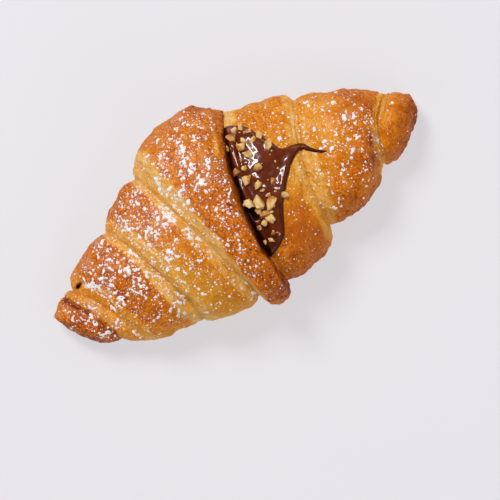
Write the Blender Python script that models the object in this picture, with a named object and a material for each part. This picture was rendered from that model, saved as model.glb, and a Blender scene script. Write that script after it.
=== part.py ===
"""A chocolate hazelnut croissant, lying on its flat base.

Rolled laminated dough is one solid: eight overlapping turns between a pointed left tip and a blunt right end, with a
split beside the widest turn. The hazelnut spread that fills the split is the second solid, and the chopped nuts on it
are joined to it. Metres, +Z up, +X along the roll, with the origin under the middle of the plan.
"""

import math
import random

import bmesh
import bpy
import numpy as np
from mathutils import Vector
from mathutils.bvhtree import BVHTree
from mathutils.geometry import delaunay_2d_cdt

MM = 0.001

# Each crease between two turns, from the left tip to the right end, in millimetres: the places along the roll where it
# meets the far side, its first third, its second third and the near side, then how far out it lies on the far side
# and on the near side, and how high it lies on top.
CREASES = (
    ((-87.0, -87.0, -87.0, -87.0), 1.4, 1.4, 9.5),
    ((-79.0, -73.8, -69.9, -68.0), 5.8, -21.6, 17.5),
    ((-74.9, -67.7, -62.8, -59.5), 7.0, -26.2, 21.5),
    ((-50.4, -43.3, -38.5, -34.8), 20.2, -32.6, 31.5),
    ((-29.1, -21.8, -16.3, -10.8), 32.0, -36.5, 40.0),
    ((15.8, 6.0, 1.4, 2.2), 36.3, -36.5, 40.5),
    ((43.6, 35.2, 30.3, 28.6), 25.0, -26.4, 34.5),
    ((76.2, 67.7, 63.4, 60.3), 7.7, -17.4, 25.0),
    ((84.9, 83.6, 80.4, 77.4), 1.8, -12.2, 15.0),
)
CREASE_STATIONS = (1.0, 1.0 / 3.0, -1.0 / 3.0, -1.0)

# How a turn rises from a crease to its crown: shares of the way, with the share of its swell reached there.
GENTLE = ((0.0, 0.0), (0.12, 0.22), (0.36, 0.6), (0.68, 0.91), (1.0, 1.0))
LAYERED = ((0.0, 0.0), (0.045, 0.3), (0.15, 0.38), (0.2, 0.62), (0.42, 0.85), (0.7, 0.97), (1.0, 1.0))
SLOPED = ((0.0, 0.0), (0.13, 0.3), (0.27, 0.49), (0.43, 0.83), (0.62, 0.95), (1.0, 1.0))
LATE = ((0.0, 0.0), (0.4, 0.05), (0.7, 0.6), (1.0, 1.0))
CLIFF = ((0.0, 0.0), (0.05, 0.3), (0.11, 0.62), (0.2, 0.82), (0.36, 0.94), (0.65, 0.99), (1.0, 1.0))

# How each turn swells between its two creases: on the far side, on the near side and on top. Each swell is its size in
# millimetres, the share of the turn's length where it is largest, and how it rises from the left and the right crease.
TURNS = (
    ((0.6, 0.50, GENTLE, GENTLE), (2.7, 0.45, GENTLE, GENTLE), (2.2, 0.55, GENTLE, GENTLE)),
    ((0.7, 0.50, GENTLE, GENTLE), (0.8, 0.45, GENTLE, GENTLE), (2.2, 0.40, LAYERED, GENTLE)),
    ((3.6, 0.24, LAYERED, GENTLE), (0.9, 0.40, LAYERED, GENTLE), (5.0, 0.40, LAYERED, GENTLE)),
    ((2.6, 0.30, LAYERED, GENTLE), (2.2, 0.42, LAYERED, GENTLE), (5.2, 0.42, LAYERED, GENTLE)),
    ((10.7, 0.50, LAYERED, SLOPED), (6.4, 0.58, LAYERED, LAYERED), (9.5, 0.52, LAYERED, CLIFF)),
    ((2.7, 0.84, LATE, LAYERED), (5.8, 0.72, GENTLE, LAYERED), (4.2, 0.60, GENTLE, LAYERED)),
    ((2.8, 0.58, GENTLE, GENTLE), (5.0, 0.44, GENTLE, LAYERED), (5.2, 0.56, GENTLE, LAYERED)),
    ((0.6, 0.50, GENTLE, GENTLE), (2.4, 0.52, GENTLE, GENTLE), (3.6, 0.46, GENTLE, GENTLE)),
)
LEFT_TIP_TURN, WIDEST_TURN, RIGHT_TURN = 0, 4, 7

WAIST_SHARE = 0.40  # the height of the roll's widest level, as a share of its full height
UPPER_ROUNDNESS, LOWER_ROUNDNESS = 2.15, 2.25  # 2 is an ellipse, more is squarer
BASE_SINK = 1.7  # how far the rounded underside would reach below the table, where it is cut flat
TIP_LIFT_LEFT, TIP_LIFT_RIGHT = 4.0, 3.2  # how far the underside lifts off the table at each end
END_BULGE = (2.0, -1.0, 0.3)  # how far the blunt right end bulges, along, across and up
TIP_POWER = 0.62  # under 1 rounds the pointed tip

ROWS_OF_TIP = (0.012, 0.06, 0.16, 0.3, 0.46, 0.64, 0.82)
RING_POINTS = 48
END_RINGS = (0.9, 0.7, 0.38)

# The spread's outline seen from above, clockwise from the top of the widest turn's edge.
POOL_EDGE = (
    (10.8, 27.6),
    (14.4, 28.3),
    (20.4, 23.4),
    (23.3, 17.0),
    (27.6, 10.1),
    (32.9, 8.9),
    (36.7, 6.2),
    (32.6, 5.6),
    (28.1, 3.1),
    (19.0, -5.8),
    (12.3, -15.6),
    (7.2, -21.3),
    (1.7, -23.9),
)
POOL_STEPS = 3  # outline points for each stretch between two of those
POOL_LEFT_POINTS = 14
POOL_UP_THE_EDGE = 0.075  # how far up the widest turn's edge the spread lies, as a share of that turn's length
POOL_GAP = 0.3
POOL_RIM_DEPTH, POOL_DEPTH = 0.7, 5.0  # how deep it is at its rim and further in
POOL_DEPTH_WITHIN = 4.5  # how far from its rim it gets that deep
POOL_SWELL, POOL_SWELL_WITHIN = 1.0, 1.4  # how far it stands above the dough, and how far from its rim
POOL_BANK, POOL_BANK_WIDTH = 2.2, 3.5  # how much more it stands up in the widest turn's crease, and how far round it
POOL_INNER_RIMS = (0.9, 2.1)  # how far inside its rim the first rows of points on its surface lie
POOL_GRID = 2.0  # the distance between the points further in
WELL_ABOVE = 60.0

# The larger nut pieces: place on the spread, length, width and heading in degrees.
LARGE_NUTS = (
    (13.3, 23.9, 4.0, 2.7, -40),
    (17.0, 24.4, 3.0, 2.5, 20),
    (14.4, 18.9, 3.4, 2.9, 60),
    (20.4, 19.3, 3.9, 2.9, 70),
    (21.7, 14.6, 3.6, 2.8, 60),
    (15.3, 14.6, 3.4, 2.9, 80),
    (8.4, 11.0, 3.0, 2.5, 0),
    (15.6, 8.0, 3.4, 2.8, -10),
    (9.2, 6.2, 3.6, 3.1, 30),
    (12.2, 2.4, 3.5, 2.4, 10),
    (6.2, -1.7, 4.8, 2.8, -20),
    (9.4, -4.1, 4.5, 3.4, 80),
    (13.0, -6.4, 5.2, 2.8, 35),
    (8.3, -9.1, 3.8, 2.8, -15),
    (9.6, -12.6, 3.4, 2.9, 80),
    (5.9, -12.3, 2.9, 2.5, 50),
)
# Where the finer nut pieces lie: middle and half sizes of a patch, and how many lie in it.
FINE_NUTS = (
    (16.5, 21.5, 4.8, 4.5, 7),
    (13.0, 9.0, 5.5, 6.5, 4),
    (8.5, -6.5, 4.0, 5.0, 4),
    (5.6, -16.5, 3.0, 3.4, 5),
)
FINE_NUT_SIZE = (1.5, 2.6)
NUT_SEED = 11
NUT_CORNERS = 10
NUT_SUNK = 0.22  # the share of a nut's height that is in the spread
NUT_SPACING = 0.42  # the least distance between two pieces, as a share of their joint length

CRUST_COLOUR = (0.56, 0.24, 0.055, 1.0)
SPREAD_COLOUR = (0.075, 0.022, 0.009, 1.0)


def smooth_step(low, high, value):
    """0 at low, 1 at high, with a smooth way between."""
    share = np.clip((value - low) / (high - low), 0.0, 1.0)
    return share * share * (3.0 - 2.0 * share)


def between(low, high, share):
    return low + (high - low) * share


def crease_place(index, across):
    """Where a crease lies along the roll, for a place across it from 1 at the far side to -1 at the near side."""
    place = np.zeros_like(across)
    for i, station in enumerate(CREASE_STATIONS):
        weight = np.ones_like(across)
        for j, other in enumerate(CREASE_STATIONS):
            if j != i:
                weight = weight * (across - other) / (station - other)
        place = place + CREASES[index][0][i] * weight
    return place


def swell(share, side):
    """How far one side of a turn has swollen at a share of the turn's length, in millimetres."""
    size, peak, left, right = side
    way, profile = (share / peak, left) if share < peak else ((1.0 - share) / (1.0 - peak), right)
    return size * float(np.interp(way, [step[0] for step in profile], [step[1] for step in profile]))


def row_shares(turn):
    """The shares of a turn's length that get a ring of points: its left crease and every step of its top's profiles."""
    _, peak, left, right = TURNS[turn][2]
    rising = [way * peak for way, _ in left]
    falling = [1.0 - way * (1.0 - peak) for way, _ in reversed(right)]
    return rising + falling[1:-1]


def unevenness(along, angle):
    """The slow waves that keep the hand-rolled dough from being regular, in millimetres."""
    return (
        0.45 * np.sin(0.31 * along + 2.0 * angle)
        + 0.4 * np.sin(0.17 * along - 3.0 * angle + 1.3)
        + 0.3 * np.sin(0.53 * along + 5.0 * angle + 0.4)
        + 0.25 * np.sin(0.71 * along - 7.0 * angle + 2.1)
    )


def section(turn, share, angle):
    """The closed curve round the roll at a share of a turn's length, as points in millimetres."""
    far, near, top = TURNS[turn]
    start, end = CREASES[turn], CREASES[turn + 1]
    grow = share**TIP_POWER if turn == LEFT_TIP_TURN else share

    sine, cosine = np.sin(angle), np.cos(angle)
    upper = sine >= 0.0
    roundness = np.where(upper, UPPER_ROUNDNESS, LOWER_ROUNDNESS)
    across = np.sign(cosine) * np.abs(cosine) ** (2.0 / roundness)
    rise = np.sign(sine) * np.abs(sine) ** (2.0 / roundness)

    side_swell = 1.0 - smooth_step(0.1, 0.85, -sine)
    far_out = between(start[1], end[1], grow) + swell(share, far) * side_swell
    near_out = between(start[2], end[2], grow) - swell(share, near) * side_swell
    height = between(start[3], end[3], grow) + swell(share, top)

    middle = (far_out + near_out) / 2.0
    half = (far_out - near_out) / 2.0
    along = between(crease_place(turn, across), crease_place(turn + 1, across), share)

    lift = TIP_LIFT_LEFT * smooth_step(-58.0, -84.0, along) + TIP_LIFT_RIGHT * smooth_step(56.0, 84.0, along)
    waist = WAIST_SHARE * height
    if turn == LEFT_TIP_TURN:
        tip_height = CREASES[0][3]
        lift = between(tip_height - 1.0 + BASE_SINK, lift, min(1.0, 2.2 * grow))
        waist = between(tip_height, waist, grow)
    under = lift - BASE_SINK
    uneven = unevenness(along, angle) * smooth_step(0.0, 8.0, half)
    across_place = middle + (half + 0.6 * uneven) * across
    up = waist + np.where(upper, height - waist, waist - under) * rise + uneven * np.maximum(rise, 0.0)
    return np.stack([along, across_place, np.maximum(up, 0.0)], axis=-1)


def crust_rings():
    """The crust's rings of points from the left tip to the middle of its blunt right end."""
    angle = np.arange(RING_POINTS) * 2.0 * math.pi / RING_POINTS
    rings = [section(LEFT_TIP_TURN, share, angle) for share in ROWS_OF_TIP]
    for turn in range(1, len(TURNS)):
        rings += [section(turn, share, angle) for share in row_shares(turn)]
    rim = section(RIGHT_TURN, 1.0, angle)
    rings.append(rim)
    middle = rim.mean(axis=0)
    bulge = np.array(END_BULGE)
    for size in END_RINGS:
        rings.append(middle + (rim - middle) * size + bulge * (1.0 - size**2))
    return rings, middle + bulge


def plan_middle(rings):
    """The middle of the crust's box seen from above, in millimetres."""
    points = np.concatenate(rings)
    low, high = points.min(axis=0), points.max(axis=0)
    return (low + high)[:2] / 2.0


def new_object(name, mesh, colour, roughness, coat):
    """A smooth-shaded object with a material of its own."""
    material = bpy.data.materials.new(name)
    material.use_nodes = True
    shader = material.node_tree.nodes["Principled BSDF"]
    shader.inputs["Base Color"].default_value = colour
    shader.inputs["Roughness"].default_value = roughness
    shader.inputs["Coat Weight"].default_value = coat
    mesh.materials.append(material)
    mesh.shade_smooth()
    obj = bpy.data.objects.new(name, mesh)
    bpy.context.scene.collection.objects.link(obj)
    return obj


def closed_mesh(name, rings, first_pole, last_pole, shift):
    """A closed mesh through rings of equal length, with a fan to a pole at each end."""
    mesh = bpy.data.meshes.new(name)
    made = bmesh.new()
    rows = [[made.verts.new((point - shift) * MM) for point in ring] for ring in rings]
    for row, following in zip(rows, rows[1:]):
        for i in range(len(row)):
            j = (i + 1) % len(row)
            made.faces.new((row[i], following[i], following[j], row[j]))
    for pole, row, turned in ((first_pole, rows[0], True), (last_pole, rows[-1], False)):
        tip = made.verts.new((pole - shift) * MM)
        for i in range(len(row)):
            j = (i + 1) % len(row)
            made.faces.new((tip, row[i], row[j]) if turned else (tip, row[j], row[i]))
    bmesh.ops.triangulate(made, faces=made.faces)
    bmesh.ops.recalc_face_normals(made, faces=made.faces)
    made.to_mesh(mesh)
    made.free()
    return mesh


def tree_of(mesh):
    """A tree that rays can be cast at."""
    return BVHTree.FromPolygons([vertex.co for vertex in mesh.vertices], [face.vertices for face in mesh.polygons])


def heights_on(tree, places, shift):
    """How high a surface lies under each place seen from above, in millimetres."""
    heights = []
    for x, y in places:
        start = Vector(((x - shift[0]) * MM, (y - shift[1]) * MM, WELL_ABOVE * MM))
        heights.append(tree.ray_cast(start, Vector((0.0, 0.0, -1.0)))[0].z / MM)
    return np.array(heights)


def curve_through(points, steps):
    """Points on a smooth open curve through the given ones, with the given steps to each stretch."""
    knots = [np.array(point, float) for point in points]
    knots = [2.0 * knots[0] - knots[1], *knots, 2.0 * knots[-1] - knots[-2]]
    curve = []
    for before, start, end, after in zip(knots, knots[1:], knots[2:], knots[3:]):
        for step in range(steps):
            t = step / steps
            linear, square = end - before, 2.0 * before - 5.0 * start + 4.0 * end - after
            cube = 3.0 * start - before - 3.0 * end + after
            curve.append(0.5 * (2.0 * start + linear * t + square * t**2 + cube * t**3))
    curve.append(knots[-2])
    return curve


def place_on_widest_turn(share, place_across):
    """Where a share of the widest turn's length lies along the roll, at a place across it in millimetres."""
    far, near = CREASES[WIDEST_TURN + 1][1], CREASES[WIDEST_TURN + 1][2]
    across = np.array([(place_across - (far + near) / 2.0) / ((far - near) / 2.0)])
    return float(between(crease_place(WIDEST_TURN, across), crease_place(WIDEST_TURN + 1, across), share)[0])


def pool_outline(inset):
    """The spread's outline seen from above, clockwise, and the given distance inside the split's."""
    free_side = curve_through(POOL_EDGE, POOL_STEPS)
    low, high = free_side[-1][1], free_side[0][1]
    left = []
    for i in range(POOL_LEFT_POINTS):
        across = between(low, high, (i + 0.5) / POOL_LEFT_POINTS)
        left.append(np.array([place_on_widest_turn(1.0 - POOL_UP_THE_EDGE, across), across]))
    outline = np.array(free_side + left)
    ahead = np.roll(outline, -1, axis=0) - outline
    ahead /= np.linalg.norm(ahead, axis=1)[:, None]
    inward = np.stack([ahead[:, 1], -ahead[:, 0]], axis=1)
    both = inward + np.roll(inward, 1, axis=0)
    return outline + inset * 2.0 * both / (both**2).sum(axis=1)[:, None]


def distance_inside(outline, place):
    """How far a place lies inside an outline; less than 0 if it is outside."""
    turning, nearest = 0.0, 1e9
    for a, b in zip(outline, np.roll(outline, -1, axis=0)):
        to_a, to_b = a - place, b - place
        turning += math.atan2(to_a[0] * to_b[1] - to_a[1] * to_b[0], to_a @ to_b)
        share = np.clip(-(to_a @ (b - a)) / ((b - a) @ (b - a)), 0.0, 1.0)
        nearest = min(nearest, float(np.linalg.norm(to_a + (b - a) * share)))
    return nearest if abs(turning) > math.pi else -nearest


def pool_plan():
    """The split seen from above: its points with the outline first, their distances from the rim, and triangles."""
    outline = pool_outline(0.0)
    low, high = outline.min(axis=0), outline.max(axis=0)
    points = list(outline)
    for inset in POOL_INNER_RIMS:
        for place in pool_outline(inset):
            apart = min(np.linalg.norm(place - point) for point in points)
            if distance_inside(outline, place) > 0.85 * inset and apart > 0.4 * POOL_GRID:
                points.append(place)
    row_step = POOL_GRID * math.sqrt(0.75)
    for row in range(int((high[1] - low[1]) / row_step) + 1):
        for column in range(int((high[0] - low[0]) / POOL_GRID) + 1):
            x = low[0] + (column + 0.5 * (row % 2)) * POOL_GRID
            place = np.array([x, low[1] + row * row_step])
            if distance_inside(outline, place) > POOL_INNER_RIMS[-1] + 0.4 * POOL_GRID:
                points.append(place)
    count = len(outline)
    edges = [(i, (i + 1) % count) for i in range(count)]
    found = delaunay_2d_cdt([Vector(point) for point in points], edges, [list(range(count))], 1, 1e-6)
    places = np.array([tuple(point) for point in found[0]])
    from_rim = np.array([max(0.0, distance_inside(outline, place)) for place in places])
    from_rim[:count] = 0.0
    return places, from_rim, found[2], count


def filled_shell(name, places, triangles, rim, upper, lower, shift):
    """A closed mesh between two surfaces over the same plan, walled round its first points, which are its rim."""
    count = len(places)
    vertices = [(np.append(place, high) - shift) * MM for place, high in zip(places, upper)]
    vertices += [(np.append(place, low) - shift) * MM for place, low in zip(places, lower)]
    faces = [tuple(triangle) for triangle in triangles]
    faces += [tuple(count + i for i in reversed(triangle)) for triangle in triangles]
    faces += [(i, (i + 1) % rim, count + (i + 1) % rim, count + i) for i in range(rim)]
    made = bmesh.new()
    corners = [made.verts.new(vertex) for vertex in vertices]
    for face in faces:
        made.faces.new([corners[i] for i in face])
    bmesh.ops.triangulate(made, faces=made.faces)
    bmesh.ops.recalc_face_normals(made, faces=made.faces)
    mesh = bpy.data.meshes.new(name)
    made.to_mesh(mesh)
    made.free()
    return mesh


def depth_of_pool(from_rim):
    """How deep the split is under the dough's surface at a distance from its rim."""
    rounding = 1.0 - (1.0 - np.minimum(1.0, from_rim / POOL_DEPTH_WITHIN)) ** 2
    return between(POOL_RIM_DEPTH, POOL_DEPTH, rounding)


def split_and_spread(dough, shift):
    """The space that the spread lies in, reaching up out of the crust, and the spread without its nuts."""
    places, from_rim, triangles, rim = pool_plan()
    depth = depth_of_pool(from_rim)
    floor = heights_on(dough, places, shift) - depth
    split = filled_shell("split", places, triangles, rim, np.full(len(places), WELL_ABOVE), floor, shift)

    inner = np.concatenate([pool_outline(POOL_GAP), places[rim:]])
    ground = heights_on(dough, inner, shift)
    from_crease = inner[:, 0] - np.array([place_on_widest_turn(1.0, across) for across in inner[:, 1]])
    bank = POOL_BANK * np.exp(-((from_crease / POOL_BANK_WIDTH) ** 2))
    upper = ground + (POOL_SWELL + bank) * (1.0 - np.exp(-from_rim / POOL_SWELL_WITHIN))
    spread = filled_shell("spread", inner, triangles, rim, upper, ground - depth + POOL_GAP, shift)
    return split, spread


def nut_places():
    """Place, length, width and heading of every nut piece: the large ones, then the finer ones that find room."""
    outline = pool_outline(POOL_GAP)
    draw = random.Random(NUT_SEED)
    placed = [(np.array([x, y]), length, width, heading) for x, y, length, width, heading in LARGE_NUTS]
    for x, y, half_x, half_y, count in FINE_NUTS:
        found = tries = 0
        while found < count and tries < 400:
            tries += 1
            place = np.array([x + draw.uniform(-half_x, half_x), y + draw.uniform(-half_y, half_y)])
            length = draw.uniform(*FINE_NUT_SIZE)
            width = length * draw.uniform(0.6, 0.95)
            heading = draw.uniform(0.0, 180.0)
            clear = all(np.linalg.norm(place - p) > NUT_SPACING * (length + size) for p, size, _, _ in placed)
            if clear and distance_inside(outline, place) > 0.7 * length:
                placed.append((place, length, width, heading))
                found += 1
    return placed


def nut_mesh(index, place, length, width, heading, surface, shift):
    """One chopped piece on the given surface: the hull of corners drawn on a flattened ball."""
    draw = random.Random(NUT_SEED * 1000 + index)
    height = 0.8 * width
    turn = math.radians(heading)
    bottom = heights_on(surface, [place], shift)[0] - NUT_SUNK * height
    made = bmesh.new()
    for corner in range(NUT_CORNERS):
        level = -1.0 + 2.0 * (corner + 0.5) / NUT_CORNERS
        round_angle = corner * 2.4 + draw.uniform(-0.5, 0.5)
        reach = math.sqrt(1.0 - level * level) * draw.uniform(0.82, 1.12)
        x, y = reach * math.cos(round_angle) * length / 2.0, reach * math.sin(round_angle) * width / 2.0
        made.verts.new(
            (
                (place[0] + x * math.cos(turn) - y * math.sin(turn) - shift[0]) * MM,
                (place[1] + x * math.sin(turn) + y * math.cos(turn) - shift[1]) * MM,
                (bottom + (level + 1.0) * height / 2.0) * MM,
            )
        )
    hull = bmesh.ops.convex_hull(made, input=made.verts)
    loose = [item for item in hull["geom_interior"] if isinstance(item, bmesh.types.BMVert)]
    bmesh.ops.delete(made, geom=loose, context="VERTS")
    bmesh.ops.recalc_face_normals(made, faces=made.faces)
    mesh = bpy.data.meshes.new("nut")
    made.to_mesh(mesh)
    made.free()
    return mesh


def boolean(target, operation, other):
    """Joins or cuts the target by an object or a collection, at once."""
    modifier = target.modifiers.new(operation.lower(), "BOOLEAN")
    modifier.operation = operation
    modifier.solver = "EXACT"
    if isinstance(other, bpy.types.Collection):
        modifier.operand_type = "COLLECTION"
        modifier.collection = other
    else:
        modifier.object = other
    graph = bpy.context.evaluated_depsgraph_get()
    result = bpy.data.meshes.new_from_object(target.evaluated_get(graph))
    target.modifiers.clear()
    target.data = result


def add_nuts(spread, shift):
    """Joins the chopped nuts to the spread."""
    surface = tree_of(spread.data)
    nuts = bpy.data.collections.new("nuts")
    bpy.context.scene.collection.children.link(nuts)
    for index, (place, length, width, heading) in enumerate(nut_places()):
        mesh = nut_mesh(index, place, length, width, heading, surface, shift)
        nuts.objects.link(bpy.data.objects.new(f"nut_{index}", mesh))
    boolean(spread, "UNION", nuts)
    for nut in list(nuts.objects):
        bpy.data.objects.remove(nut)
    bpy.data.collections.remove(nuts)


def main():
    for obj in list(bpy.data.objects):
        bpy.data.objects.remove(obj)
    rings, end_pole = crust_rings()
    shift = np.append(plan_middle(rings), 0.0)
    tip = np.array([CREASES[0][0][0], CREASES[0][1], CREASES[0][3]])
    dough = closed_mesh("croissant", rings, tip, end_pole, shift)
    split, spread = split_and_spread(tree_of(dough), shift)
    crust = new_object("croissant", dough, CRUST_COLOUR, 0.45, 0.2)
    cutter = bpy.data.objects.new("split", split)
    bpy.context.scene.collection.objects.link(cutter)
    boolean(crust, "DIFFERENCE", cutter)
    bpy.data.objects.remove(cutter)
    add_nuts(new_object("chocolate", spread, SPREAD_COLOUR, 0.25, 1.0), shift)


main()
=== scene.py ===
"""The looks of a chocolate hazelnut croissant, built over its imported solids.

The crust has the same rolled form as its solid, with blisters, wrinkles, cracks, pale layered flanks and
a browned skin. Glossy hazelnut spread fills the split beside the widest turn, chopped nuts lie on it, and
icing sugar lies on what faces up. Sizes are in millimetres along, across and up the roll until a mesh is
made, which is in metres.
"""

import logging
import math
import random
from collections.abc import Sequence
from dataclasses import dataclass, field
from enum import Enum

import bmesh
import bpy
import numpy as np
from mathutils import Matrix, Vector, noise
from mathutils.bvhtree import BVHTree
from mathutils.geometry import delaunay_2d_cdt


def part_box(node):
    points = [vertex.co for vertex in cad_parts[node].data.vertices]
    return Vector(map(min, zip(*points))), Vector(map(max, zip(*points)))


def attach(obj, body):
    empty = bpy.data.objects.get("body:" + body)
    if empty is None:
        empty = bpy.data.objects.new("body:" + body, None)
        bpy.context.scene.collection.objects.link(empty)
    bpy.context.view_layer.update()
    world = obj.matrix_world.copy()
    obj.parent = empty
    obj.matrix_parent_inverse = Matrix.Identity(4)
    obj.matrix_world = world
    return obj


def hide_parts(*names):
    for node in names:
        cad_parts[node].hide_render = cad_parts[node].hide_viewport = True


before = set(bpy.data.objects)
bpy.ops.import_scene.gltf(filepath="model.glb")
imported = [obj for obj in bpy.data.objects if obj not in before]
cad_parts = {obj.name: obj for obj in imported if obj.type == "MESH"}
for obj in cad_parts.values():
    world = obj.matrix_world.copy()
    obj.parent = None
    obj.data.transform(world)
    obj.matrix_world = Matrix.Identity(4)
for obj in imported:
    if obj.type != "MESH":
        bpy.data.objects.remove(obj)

MM = 0.001
CLEAR_OF_BOX = 0.02  # how far the looks stay inside the solids' box

log = logging.getLogger("croissant")

Sides = tuple[float, float, float]  # a value at the far side, on top and at the near side
Colour = tuple[float, float, float]
Amount = float | np.ndarray  # one number, or one for each place
Setting = float | str | bool | Sequence


def smooth_step(low: Amount, high: Amount, value: Amount) -> Amount:
    """0 at low, 1 at high, with a smooth way between."""
    share = np.clip((value - low) / (high - low), 0.0, 1.0)
    return share * share * (3.0 - 2.0 * share)


def between(low: Amount, high: Amount, share: Amount) -> Amount:
    """The value at a share of the way from low to high."""
    return low + (high - low) * share


def over_sides(sides: Sides, across: np.ndarray) -> np.ndarray:
    """A value given at the far side, on top and at the near side, at places across the roll from 1 to -1."""
    return np.interp(across, (-1.0, 0.0, 1.0), sides[::-1])


def ripple(places: np.ndarray, size: float, seed: int, octaves: int = 1) -> np.ndarray:
    """Smooth noise at places.

    Args:
        places: Points, with their three coordinates last.
        size: The distance from one swell to the next, in the places' unit.
        seed: Which of the endless noises to take.
        octaves: How many finer noises are laid over each other.

    Returns:
        One number from about -1 to 1 for each place.
    """
    shifted = (places.reshape(-1, 3) / size + 31.7 * seed).tolist()
    if octaves == 1:
        values = [noise.noise(place) for place in shifted]
    else:
        values = [noise.fractal(place, 1.0, 2.0, octaves) for place in shifted]
    return 1.4 * np.array(values).reshape(places.shape[:-1])


def linear(red: int, green: int, blue: int) -> Colour:
    """A colour as it is seen on a screen, from 0 to 255, as the share of light that it sends back."""
    shares = [value / 255.0 for value in (red, green, blue)]
    return tuple(s / 12.92 if s <= 0.04045 else ((s + 0.055) / 1.055) ** 2.4 for s in shares)


@dataclass(frozen=True)
class Mottle:
    """Noise in a finish: its swells' size in millimetres, how much finer it goes on, and how rough it is."""

    size: float
    detail: float = 2.0
    rough: float = 0.5


class Signal:
    """A number inside a material. Reckoning with it adds the nodes that do so."""

    def __init__(self, recipe: "Recipe", socket: bpy.types.NodeSocket) -> None:
        """Wraps an output socket of a recipe."""
        self.recipe = recipe
        self.socket = socket

    def __add__(self, other: "Signal | float") -> "Signal":
        """This and another."""
        return self.recipe.maths("ADD", self, other)

    def __sub__(self, other: "Signal | float") -> "Signal":
        """This less another."""
        return self.recipe.maths("SUBTRACT", self, other)

    def __rsub__(self, other: float) -> "Signal":
        """A number less this."""
        return self.recipe.maths("SUBTRACT", other, self)

    def __mul__(self, other: "Signal | float") -> "Signal":
        """This times another."""
        return self.recipe.maths("MULTIPLY", self, other)

    __radd__ = __add__
    __rmul__ = __mul__

    def limited(self) -> "Signal":
        """This, kept between 0 and 1."""
        return self.recipe.maths("ADD", self, 0.0, clamp=True)

    def stepped(self, low: float, high: float) -> "Signal":
        """0 where this is at low, 1 where it is at high, with a smooth way between.

        Args:
            low: Where it starts to rise.
            high: Where it has risen.

        Returns:
            The new signal.
        """
        settings = {"interpolation_type": "SMOOTHSTEP"}
        sockets = {"Value": self, "From Min": low, "From Max": high}
        node = self.recipe.node("ShaderNodeMapRange", settings, sockets)
        return Signal(self.recipe, node.outputs["Result"])


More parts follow.
